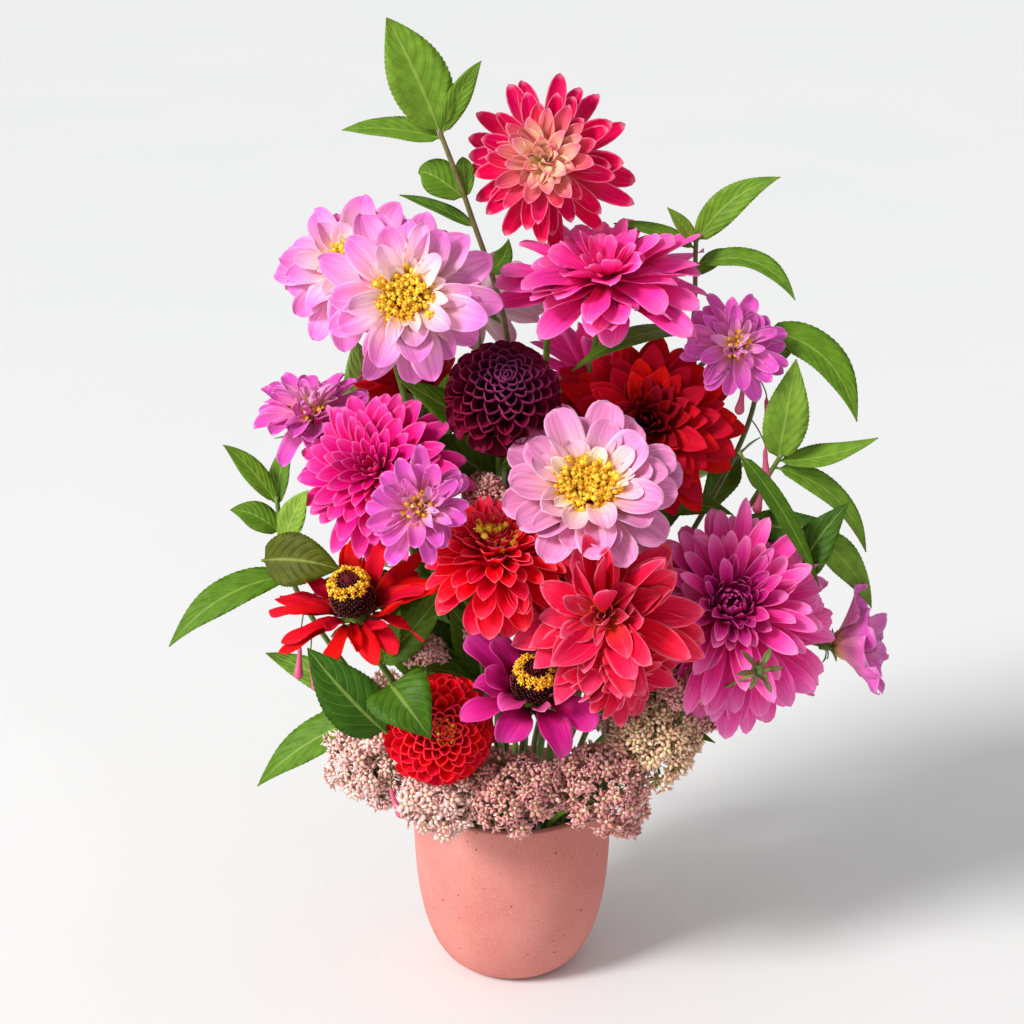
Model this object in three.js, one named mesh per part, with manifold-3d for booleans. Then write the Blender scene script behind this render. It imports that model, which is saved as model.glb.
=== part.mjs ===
// A round terracotta-pink vase of cut garden flowers: two zinnias among dahlias of several forms,
// a cosmos, stonecrop heads round the rim and leafy stems. Millimetres, +Z up, the front towards -Y.
// The origin is the centre of the vase's flat foot.
import * as THREE from "three";
import { mergeVertices } from "three/addons/utils/BufferGeometryUtils.js";
import Module from "manifold-3d";

const wasm = await Module();
wasm.setup();

// ---------------------------------------------------------------- driving dimensions
const VASE_HEIGHT = 116;
const RIM_RADIUS = 61;
const FOOT_RADIUS = 30;
const WALL = 5;
const FLOOR = 7;
const WATER_TOP = 88;
const GAP = 0.4; // between pieces that touch
const MOUTH = 106; // height at which a stem leaves the straight part of its run
const STEM_FOOT = 10.5; // height of the cut ends, on the vase's floor
const FOOT_SPREAD = 0.48; // where a stem stands on the floor, as a share of its place in the mouth
const STEM_SIDES = 5;
const STEM_STEP = 70; // length of one stretch of a stem above the mouth
const ARRIVAL = 45; // how far behind a flower its stem turns to it, at most
const SHOOT = 0.85; // radius of a side shoot, as a share of its stem's
const PETAL_THICK = 1.5;
const LEAF_THICK = 1.2;
const WELD = 1e-3; // corners closer than this are one

// ---------------------------------------------------------------- colours
const COLOURS = {
  vase: 0xc9766c,
  water: 0xa9c4c0,
  crimson: 0xd8104f,
  lilac: 0xd98ad6,
  magenta: 0xd2358f,
  maroon: 0x4d0726,
  red: 0xb90508,
  blush: 0xf0b6d4,
  hotpink: 0xe63c98,
  orchid: 0xc767c2,
  coral: 0xdf2f3c,
  salmon: 0xe5354b,
  purple: 0xc83f94,
  scarlet: 0xd3100f,
  plum: 0xa41670,
  poppy: 0xc4060f,
  pale: 0xe6b4cc,
  stem: 0x5d7a2c,
  leaf: 0x3f7a26,
  disc: 0xf0b520,
  cone: 0x3b1512,
  ring: 0xf2c313,
  stonecrop: 0xc98f8c,
  cream: 0xcdb789,
};

// ---------------------------------------------------------------- small helpers
const radians = THREE.MathUtils.degToRad;
const vector = (xyz) => new THREE.Vector3(...xyz);

// Numbers from 0 to 1 that look random and come out the same every time.
function seeded(seed) {
  let state = seed;
  return () => {
    state = (state * 16807) % 2147483647;
    return state / 2147483647;
  };
}

function solid(geometry, matrix = new THREE.Matrix4()) {
  const bare = new THREE.BufferGeometry();
  bare.setAttribute("position", geometry.getAttribute("position").clone()).setIndex(geometry.index);
  const merged = mergeVertices(bare.applyMatrix4(matrix), WELD);
  const vertProperties = merged.attributes.position.array;
  const triVerts = new Uint32Array(merged.index.array);
  return new wasm.Manifold(new wasm.Mesh({ numProp: 3, vertProperties, triVerts }));
}

// Joins the parts, and keeps only the largest body when a crossing has cut off a scrap.
function fuse(parts) {
  const bodies = wasm.Manifold.union(parts).decompose();
  bodies.sort((a, b) => b.volume() - a.volume());
  return bodies[0];
}

const bouquet = new THREE.Group();

function addNode(name, shape, colour, roughness = 0.7) {
  const { numProp, numVert, vertProperties, triVerts } = shape.getMesh();
  const positions = new Float32Array(numVert * 3);
  for (let i = 0; i < numVert; i++) {
    positions.set(vertProperties.subarray(i * numProp, i * numProp + 3), i * 3);
  }
  const geometry = new THREE.BufferGeometry()
    .setAttribute("position", new THREE.BufferAttribute(positions, 3))
    .setIndex(new THREE.BufferAttribute(new Uint32Array(triVerts), 1));
  geometry.computeVertexNormals();
  const material = new THREE.MeshStandardMaterial({ color: COLOURS[colour], roughness, metalness: 0 });
  const mesh = new THREE.Mesh(geometry, material);
  mesh.name = name;
  bouquet.add(mesh);
}

// A unit vector: azimuth 0 is towards the front (-Y), 90 towards +X, and elevation is above the horizon.
function heading([azimuth, elevation]) {
  const a = radians(azimuth);
  const e = radians(elevation);
  return new THREE.Vector3(Math.sin(a) * Math.cos(e), -Math.cos(a) * Math.cos(e), Math.sin(e));
}

// The matrix that stands +Z along an axis at a point.
function standing(axis, at) {
  const turn = new THREE.Quaternion().setFromUnitVectors(new THREE.Vector3(0, 0, 1), axis);
  return new THREE.Matrix4().compose(at, turn, new THREE.Vector3(1, 1, 1));
}

function closedGeometry(points, faces) {
  const places = new THREE.Float32BufferAttribute(points.flatMap((p) => p.toArray()), 3);
  return new THREE.BufferGeometry().setAttribute("position", places).setIndex(faces);
}

// ---------------------------------------------------------------- blooms
// A bloom is one closed body, in its own frame with +Z the way it looks. Rings of petals stand one
// inside the other on a receptacle, and a ring's petals are joined at their roots like the points of
// a star. Lengths, widths and heights are shares of the bloom's radius, and angles are degrees.
//   seats: [radius, height] of the circles between the rings, from the underside to the eye
//   rings: pitch above the flat, curl along the petal, reach of the tips, and how far the edges rise
//   waist, shoulder, spread: where neighbours part, where a petal is widest, and its width there
const FORMS = {
  decorative: {
    count: 9,
    seats: [[0.1, -0.12], [0.14, -0.04], [0.14, 0.05], [0.12, 0.13], [0.07, 0.18]],
    rings: [
      { pitch: -6, curl: -16, reach: 0.88, rise: 0.06 },
      { pitch: 16, curl: -12, reach: 0.84, rise: 0.06 },
      { pitch: 36, curl: -4, reach: 0.68, rise: 0.05 },
      { pitch: 58, curl: 14, reach: 0.46, rise: 0.04 },
    ],
    waist: 0.4, shoulder: 0.74, spread: 0.94, eye: 0.24,
  },
  ball: {
    count: 8,
    seats: [[0.3, -0.56], [0.54, -0.32], [0.62, -0.04], [0.56, 0.24], [0.38, 0.46], [0.14, 0.58]],
    rings: [
      { pitch: -34, curl: 8, reach: 0.4, rise: 0.1 },
      { pitch: -8, curl: 8, reach: 0.4, rise: 0.11 },
      { pitch: 18, curl: 8, reach: 0.4, rise: 0.11 },
      { pitch: 44, curl: 6, reach: 0.4, rise: 0.09 },
      { pitch: 68, curl: 4, reach: 0.34, rise: 0.06 },
    ],
    waist: 0.62, shoulder: 0.84, spread: 0.82, eye: 0.06,
  },
  open: {
    count: 9,
    seats: [[0.12, -0.12], [0.2, -0.03], [0.2, 0.05]],
    rings: [
      { pitch: -2, curl: -10, reach: 0.84, rise: 0.05 },
      { pitch: 20, curl: -12, reach: 0.74, rise: 0.05 },
    ],
    waist: 0.42, shoulder: 0.82, spread: 0.98, eye: 0,
  },
  small: {
    count: 7,
    seats: [[0.12, -0.2], [0.2, -0.08], [0.19, 0.04], [0.1, 0.14]],
    rings: [
      { pitch: 4, curl: -10, reach: 0.86, rise: 0.07 },
      { pitch: 30, curl: -4, reach: 0.8, rise: 0.07 },
      { pitch: 54, curl: 12, reach: 0.6, rise: 0.06 },
    ],
    waist: 0.36, shoulder: 0.78, spread: 0.92, eye: 0.22,
  },
  cup: {
    count: 8,
    seats: [[0.14, -0.2], [0.2, -0.06]],
    rings: [{ pitch: 52, curl: -22, reach: 1.2, rise: 0.05 }],
    waist: 0.4, shoulder: 0.82, spread: 0.98, eye: 0.04,
  },
  zinnia: {
    count: 12,
    seats: [[0.12, -0.2], [0.3, -0.02]],
    rings: [{ pitch: 8, curl: -28, reach: 0.72, rise: 0.04 }],
    waist: 0.24, shoulder: 0.78, spread: 0.7, eye: 0,
  },
  broadZinnia: {
    count: 9,
    seats: [[0.12, -0.2], [0.32, -0.02]],
    rings: [{ pitch: 12, curl: -30, reach: 0.72, rise: 0.06 }],
    waist: 0.24, shoulder: 0.76, spread: 0.94, eye: 0,
  },
};
const RIB = 0.62; // share of a petal's length at which it is thickest
const JITTER = { pitch: 5, reach: 0.1 }; // how unlike a ring's petals are

function bloomGeometry(form, radius, seed) {
  const { count, seats, rings, waist, shoulder, spread, eye } = form;
  const random = seeded(seed);
  const sector = Math.PI / count;
  const points = [];
  const faces = [];
  const at = (out, height, angle) =>
    points.push(new THREE.Vector3(Math.cos(angle) * out, Math.sin(angle) * out, height)) - 1;
  const circles = seats.map(([out, height], row) =>
    Array.from({ length: count }, (_, i) => at(out * radius, height * radius, (2 * i + row) * sector)),
  );

  rings.forEach(({ pitch, curl, reach, rise }, row) => {
    const below = circles[row];
    const above = circles[row + 1];
    const rootOut = ((seats[row][0] + seats[row + 1][0]) / 2) * radius;
    const rootHeight = ((seats[row][1] + seats[row + 1][1]) / 2) * radius;
    // The distance out and the height at a share of the petal's length, moved off its face.
    const along = (share, lean, stretch, off) => {
      const start = radians(pitch + lean);
      const bend = radians(curl);
      const angle = start + bend * share;
      const length = reach * stretch * radius;
      return [
        rootOut + (length * (Math.sin(angle) - Math.sin(start))) / bend - off * Math.sin(angle),
        rootHeight + (length * (Math.cos(start) - Math.cos(angle))) / bend + off * Math.cos(angle),
      ];
    };
    const petals = Array.from({ length: count }, (_, i) => {
      const angle = (2 * i + row) * sector;
      const lean = (random() - 0.5) * JITTER.pitch;
      const stretch = 1 + (random() - 0.5) * JITTER.reach;
      return {
        valley: at(...along(waist, 0, 1, rise * radius), angle + sector),
        left: at(...along(shoulder, lean, stretch, rise * radius), angle + spread * sector),
        right: at(...along(shoulder, lean, stretch, rise * radius), angle - spread * sector),
        tip: at(...along(1, lean, stretch, 0), angle),
        top: at(...along(RIB, lean, stretch, PETAL_THICK / 2), angle),
        bottom: at(...along(RIB, lean, stretch, -PETAL_THICK / 2), angle),
      };
    });
    petals.forEach(({ valley, left, right, tip, top, bottom }, i) => {
      const next = (i + 1) % count;
      const previous = (i + count - 1) % count;
      const before = petals[previous].valley;
      faces.push(above[previous], before, top, above[previous], top, above[i], above[i], top, valley);
      faces.push(before, right, top, right, tip, top, top, tip, left, top, left, valley);
      faces.push(below[i], bottom, before, below[i], valley, bottom, below[i], below[next], valley);
      faces.push(before, bottom, right, right, bottom, tip, bottom, left, tip, bottom, valley, left);
    });
  });
  const back = at(0, seats[0][1] * radius, 0);
  const front = at(0, (seats[rings.length][1] + eye) * radius, 0);
  for (let i = 0; i < count; i++) {
    const next = (i + 1) % count;
    faces.push(back, circles[0][next], circles[0][i]);
    faces.push(front, circles[rings.length][i], circles[rings.length][next]);
  }
  return closedGeometry(points, faces);
}

// at: the middle of the bloom. face: the way it looks, as azimuth and elevation. radius: to the petal tips.
const BLOOMS = {
  crimson_dahlia: { form: "decorative", at: [22, 6, 503], face: [-6, 18], radius: 48, colour: "crimson" },
  lilac_dahlia_front: { form: "open", at: [-59, -50, 436], face: [0, 22], radius: 48, colour: "lilac" },
  lilac_dahlia_back: { form: "open", at: [-96, 8, 446], face: [-22, 34], radius: 45, colour: "lilac" },
  magenta_dahlia: { form: "decorative", at: [52, -15, 430], face: [4, 62], radius: 54, colour: "magenta" },
  maroon_pompon: { form: "ball", at: [-5, -34, 376], face: [6, 46], radius: 33, colour: "maroon" },
  red_dahlia: { form: "decorative", at: [82, -14, 354], face: [12, 26], radius: 53, colour: "red" },
  blush_dahlia: { form: "open", at: [46, -77, 340], face: [-14, 24], radius: 49, colour: "blush" },
  pink_dahlia: { form: "decorative", at: [-79, -34, 330], face: [-22, 34], radius: 47, colour: "hotpink" },
  orchid_dahlia_front: { form: "small", at: [-50, -92, 328], face: [12, 22], radius: 29, colour: "orchid" },
  orchid_dahlia_left: { form: "small", at: [-129, 4, 366], face: [-18, 58], radius: 32, colour: "orchid" },
  coral_ball_dahlia: { form: "ball", at: [-12, -63, 283], face: [2, 56], radius: 38, colour: "coral" },
  coral_dahlia: { form: "decorative", at: [54, -95, 256], face: [-22, 20], radius: 51, colour: "salmon" },
  purple_dahlia: { form: "decorative", at: [131, -45, 244], face: [8, 28], radius: 59, colour: "purple" },
  red_zinnia: { form: "zinnia", at: [-90, -60, 259], face: [-24, 50], radius: 46, colour: "scarlet" },
  magenta_zinnia: { form: "broadZinnia", at: [12, -79, 200], face: [4, 58], radius: 42, colour: "plum" },
  red_pompon: { form: "ball", at: [-51, -84, 188], face: [0, 22], radius: 31, colour: "poppy" },
  orchid_dahlia_right: { form: "small", at: [129, -17, 404], face: [10, 20], radius: 27, colour: "orchid" },
  cosmos: { form: "cup", at: [194, -20, 221], face: [84, 4], radius: 26, colour: "orchid" },
  red_dahlia_back: { form: "small", at: [-58, 54, 350], face: [-165, 18], radius: 40, colour: "red" },
  pale_dahlia_back: { form: "open", at: [-21, 48, 408], face: [-176, 34], radius: 38, colour: "pale" },
  plum_dahlia_back: { form: "small", at: [47, 66, 360], face: [150, 20], radius: 42, colour: "magenta" },
};

Object.entries(BLOOMS).forEach(([name, spec], i) => {
  const place = standing(heading(spec.face), vector(spec.at));
  addNode(name, solid(bloomGeometry(FORMS[spec.form], spec.radius, 11 + 7 * i), place), spec.colour);
});

// ---------------------------------------------------------------- discs, cones and their yellow rings
const DISC = { share: 0.17, height: 6, detail: 1, stud: 0.15 };
const CONE = { radius: 12.5, height: 13, neck: 5, top: 17, sides: 12 };
const RING = { radius: 9.4, tube: 3, sides: 4, florets: 10, ripple: 0.6 };

// A ball whose vertices stand out by turns, no two neighbours both: buds packed on a head.
function studded(detail, stud) {
  const bare = new THREE.IcosahedronGeometry(1, detail);
  bare.deleteAttribute("normal");
  bare.deleteAttribute("uv");
  const ball = mergeVertices(bare, WELD);
  const index = ball.index.array;
  const place = ball.attributes.position;
  const raised = new Set();
  for (let v = 0; v < place.count; v++) {
    let free = true;
    for (let f = 0; f < index.length; f += 3) {
      const corners = [index[f], index[f + 1], index[f + 2]];
      if (corners.includes(v) && corners.some((other) => raised.has(other))) free = false;
    }
    if (free) raised.add(v);
  }
  const out = 1 + stud;
  for (const v of raised) place.setXYZ(v, place.getX(v) * out, place.getY(v) * out, place.getZ(v) * out);
  return ball;
}

// The place on a bloom's eye, and a height above it.
function onEye(spec, height) {
  const { seats, eye } = FORMS[spec.form];
  const level = (seats[seats.length - 1][1] + eye) * spec.radius;
  const axis = heading(spec.face);
  return standing(axis, vector(spec.at).addScaledVector(axis, level + GAP + height));
}

function discSolid(spec) {
  const dome = studded(DISC.detail, DISC.stud);
  const place = dome.attributes.position;
  for (let v = 0; v < place.count; v++) if (place.getZ(v) < 0) place.setZ(v, 0);
  dome.scale(DISC.share * spec.radius, DISC.share * spec.radius, DISC.height);
  return solid(dome, onEye(spec, 0));
}

function coneSolid(spec) {
  const { radius, height, neck, top, sides } = CONE;
  const profile = [
    [0, 0], [radius * 0.8, 0], [radius, height * 0.4], [radius * 0.9, height], [neck, height + 0.4],
    [neck * 0.9, top], [0, top + 1],
  ];
  const cone = new THREE.LatheGeometry(profile.map(([x, y]) => new THREE.Vector2(x, y)), sides);
  return solid(cone.rotateX(Math.PI / 2), onEye(spec, 0));
}

function ringSolid(spec) {
  const { radius, tube, sides, florets, ripple } = RING;
  const ring = new THREE.TorusGeometry(radius, tube, sides, 2 * florets);
  const place = ring.attributes.position;
  for (let v = 0; v < place.count; v++) {
    const x = place.getX(v);
    const y = place.getY(v);
    const outside = Math.max(0, Math.hypot(x, y) / radius - 1);
    const wave = 1 + ripple * outside * Math.cos(florets * Math.atan2(y, x));
    place.setXYZ(v, x * wave, y * wave, place.getZ(v));
  }
  return solid(ring, onEye(spec, CONE.height + 1 + tube));
}

for (const name of ["lilac_dahlia_front", "lilac_dahlia_back", "blush_dahlia"]) {
  addNode(`${name}_disc`, discSolid(BLOOMS[name]), "disc");
}
for (const name of ["red_zinnia", "magenta_zinnia"]) {
  addNode(`${name}_cone`, coneSolid(BLOOMS[name]), "cone");
  addNode(`${name}_ring`, ringSolid(BLOOMS[name]), "ring");
}

// ---------------------------------------------------------------- stems
const holes = []; // the stems' places in the water

// A stem's route: its first step is the straight stretch from the cut end to the mouth of the vase,
// and the rest is spaced evenly along the bend above.
class StemRoute extends THREE.Curve {
  constructor(mouth, bend, steps) {
    super();
    this.straight = new THREE.LineCurve3(footOf(mouth), new THREE.Vector3(mouth[0], mouth[1], MOUTH));
    this.bend = bend;
    this.steps = steps;
  }

  getPoint(t) {
    const step = t * this.steps;
    return step <= 1 ? this.straight.getPoint(step) : this.bend.getPointAt((step - 1) / (this.steps - 1));
  }

  getUtoTmapping(u) {
    return u;
  }
}

function footOf(mouth) {
  return new THREE.Vector3(mouth[0] * FOOT_SPREAD, mouth[1] * FOOT_SPREAD, STEM_FOOT);
}

function riseOf(mouth) {
  return new THREE.Vector3(mouth[0], mouth[1], MOUTH).sub(footOf(mouth)).normalize();
}

function section(radius, sides) {
  const turns = Array.from({ length: sides }, (_, i) => (i / sides) * 2 * Math.PI);
  return new THREE.Shape(turns.map((a) => new THREE.Vector2(radius * Math.cos(a), radius * Math.sin(a))));
}

function sweep(path, steps, radius, sides = STEM_SIDES) {
  const tube = { extrudePath: path, steps, bevelEnabled: false };
  return solid(new THREE.ExtrudeGeometry(section(radius, sides), tube));
}

const stepsOf = (curve) => Math.max(2, Math.round(curve.getLength() / STEM_STEP));

// The point at a share of a bend's length, on the straight stretches that it is swept in.
function onStem(bend, share) {
  const steps = stepsOf(bend);
  const step = Math.min(steps - 1, Math.floor(share * steps));
  return bend.getPointAt(step / steps).lerp(bend.getPointAt((step + 1) / steps), share * steps - step);
}

// The part of a stem above the mouth, for a flower: it leaves along its straight stretch and comes up
// behind the flower. lean moves its middle aside, past other pieces.
const DEPART = 0.38; // how far the bend runs on along the straight stretch, as a share of its reach
const ARRIVE = 0.28; // how far behind the flower it turns to it, as a share of its reach
function flowerBend(start, direction, neck, axis, lean = [0, 0, 0]) {
  const reach = start.distanceTo(neck);
  const arrival = Math.min(ARRIVE * reach, ARRIVAL);
  const aside = vector(lean);
  return new THREE.CubicBezierCurve3(
    start,
    start.clone().addScaledVector(direction, DEPART * reach).add(aside),
    neck.clone().addScaledVector(axis, -arrival).add(aside),
    neck,
  );
}

function leadUp(mouth, radius, bend) {
  holes.push({ mouth, radius });
  const steps = stepsOf(bend) + 1;
  return sweep(new StemRoute(mouth, bend, steps), steps, radius);
}

const CALYX = { share: 0.1, height: 7, sides: 6 };

// The calyx under a bloom: its top face lies on the bloom's underside.
function calyxOf(spec, radius) {
  const axis = heading(spec.face);
  const under = FORMS[spec.form].seats[0][1] * spec.radius - GAP;
  const seat = vector(spec.at).addScaledVector(axis, under - CALYX.height / 2);
  const wide = Math.max(CALYX.share * spec.radius, radius + 0.8);
  const cup = new THREE.CylinderGeometry(wide, radius, CALYX.height, CALYX.sides).rotateX(Math.PI / 2);
  return { axis, neck: seat, cup: solid(cup, standing(axis, seat)) };
}

// A stem with its flowers: the first one ends the stem, and each other one is on a side shoot that
// leaves it at a share of its length. leaves grow from the stem's bend, as leafSolid says.
function flowerStem(name, { mouth, radius = 2.4, flowers, leaves = [] }) {
  const start = new THREE.Vector3(mouth[0], mouth[1], MOUTH);
  const [main, ...shoots] = flowers;
  const head = calyxOf(BLOOMS[main.bloom], radius);
  const bend = flowerBend(start, riseOf(mouth), head.neck, head.axis, main.lean);
  const parts = [leadUp(mouth, radius, bend), head.cup];
  for (const { bloom, from, lean } of shoots) {
    const side = calyxOf(BLOOMS[bloom], radius * SHOOT);
    const shoot = flowerBend(onStem(bend, from), bend.getTangentAt(from), side.neck, side.axis, lean);
    parts.push(sweep(shoot, stepsOf(shoot), radius * SHOOT), side.cup);
  }
  for (const leaf of leaves) parts.push(leafSolid(onStem(bend, leaf.from), leaf));
  addNode(name, fuse(parts), "stem");
}

// ---------------------------------------------------------------- leaves
// A closed blade along a curve, a shallow V in section with a thin toothed edge. arch lifts its
// middle, face is the way its upper side looks, and keel is how far the edges rise.
const TOOTH = { first: 0.75, ends: 0.35, step: 0.035, notch: 0.8 };
const BLADE = { bias: 0.8, fullness: 0.75 }; // where a blade is widest, and how full its outline is
function leafSolid(root, { tip, width, arch = [0, 0, 4], face = [0, 40], teeth = 3, keel = 0.22 }) {
  const end = vector(tip);
  const middle = root.clone().add(end).multiplyScalar(0.5).addScaledVector(vector(arch), 2);
  const rib = new THREE.QuadraticBezierCurve3(root, middle, end);
  const look = heading(face);
  const stations = [];
  for (let tooth = 0; tooth < teeth; tooth++) {
    const share = (tooth + TOOTH.first) / (teeth + TOOTH.ends);
    const half = (width / 2) * Math.sin(Math.PI * share ** BLADE.bias) ** BLADE.fullness;
    stations.push([share, half], [share + TOOTH.step, half * TOOTH.notch]);
  }
  const points = [root.clone()];
  for (const [share, half] of stations) {
    const centre = rib.getPoint(share);
    const side = new THREE.Vector3().crossVectors(rib.getTangent(share), look).normalize();
    const normal = new THREE.Vector3().crossVectors(side, rib.getTangent(share)).normalize();
    points.push(
      centre.clone().addScaledVector(side, -half).addScaledVector(normal, keel * half),
      centre.clone().addScaledVector(normal, -LEAF_THICK / 2),
      centre.clone().addScaledVector(side, half).addScaledVector(normal, keel * half),
      centre.clone().addScaledVector(normal, LEAF_THICK / 2),
    );
  }
  points.push(end);
  const faces = [];
  const last = points.length - 1;
  for (let k = 0; k < 4; k++) {
    const next = (k + 1) % 4;
    faces.push(0, 1 + k, 1 + next, last, last - 4 + next, last - 4 + k);
    for (let s = 0; s + 1 < stations.length; s++) {
      const a = 1 + 4 * s + k;
      const b = 1 + 4 * s + next;
      // Both faces are split along matching diagonals.
      if (k % 2 === 0) faces.push(a, a + 4, b, b, a + 4, b + 4);
      else faces.push(a, b + 4, b, a, a + 4, b + 4);
    }
  }
  return solid(closedGeometry(points, faces));
}

const LEAD = 30; // how far a leafy stem runs on straight above the mouth

// A leafy stem through points above the mouth. leaves: from is their share of the stem's bend.
function leafyStem(name, { mouth, radius = 2, through, leaves }) {
  const start = new THREE.Vector3(mouth[0], mouth[1], MOUTH);
  const lead = start.clone().addScaledVector(riseOf(mouth), LEAD);
  const bend = new THREE.CatmullRomCurve3([start, lead, ...through.map(vector)]);
  const parts = [leadUp(mouth, radius, bend)];
  for (const leaf of leaves) parts.push(leafSolid(onStem(bend, leaf.from), leaf));
  addNode(name, fuse(parts), "leaf");
}

const FLOWER_STEMS = {
  crimson_stem: {
    mouth: [6, 16],
    flowers: [
      { bloom: "crimson_dahlia", lean: [4, 10, 0] },
      { bloom: "plum_dahlia_back", from: 0.3, lean: [0, 6, -6] },
      { bloom: "pale_dahlia_back", from: 0.34, lean: [-8, 0, 0] },
    ],
  },
  lilac_stem: {
    mouth: [-18, 12],
    flowers: [
      { bloom: "lilac_dahlia_back" },
      { bloom: "lilac_dahlia_front", from: 0.5 },
      { bloom: "red_dahlia_back", from: 0.44 },
    ],
  },
  magenta_stem: {
    mouth: [22, 9],
    flowers: [
      { bloom: "magenta_dahlia", lean: [-8, 14, 0] },
      { bloom: "orchid_dahlia_right", from: 0.45, lean: [8, 34, 0] },
    ],
  },
  maroon_stem: { mouth: [-3, -3], flowers: [{ bloom: "maroon_pompon" }] },
  red_stem: { mouth: [27, -3], flowers: [{ bloom: "red_dahlia" }] },
  pink_stem: {
    mouth: [-28, -2],
    flowers: [
      { bloom: "pink_dahlia" },
      { bloom: "orchid_dahlia_left", from: 0.5 },
      { bloom: "orchid_dahlia_front", from: 0.5, lean: [13, -8, 2] },
    ],
  },
  blush_stem: { mouth: [13, -14], flowers: [{ bloom: "blush_dahlia" }] },
  coral_ball_stem: { mouth: [-6, -19], flowers: [{ bloom: "coral_ball_dahlia" }] },
  coral_stem: { mouth: [20, -27], flowers: [{ bloom: "coral_dahlia" }] },
  purple_stem: {
    mouth: [34, -14],
    flowers: [{ bloom: "purple_dahlia" }, { bloom: "cosmos", from: 0.4, lean: [0, 30, 4] }],
  },
  red_zinnia_stem: { mouth: [-31, -14], flowers: [{ bloom: "red_zinnia" }] },
  magenta_zinnia_stem: { mouth: [5, -33], flowers: [{ bloom: "magenta_zinnia" }] },
  red_pompon_stem: { mouth: [-15, -30], flowers: [{ bloom: "red_pompon" }] },
};

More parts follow.
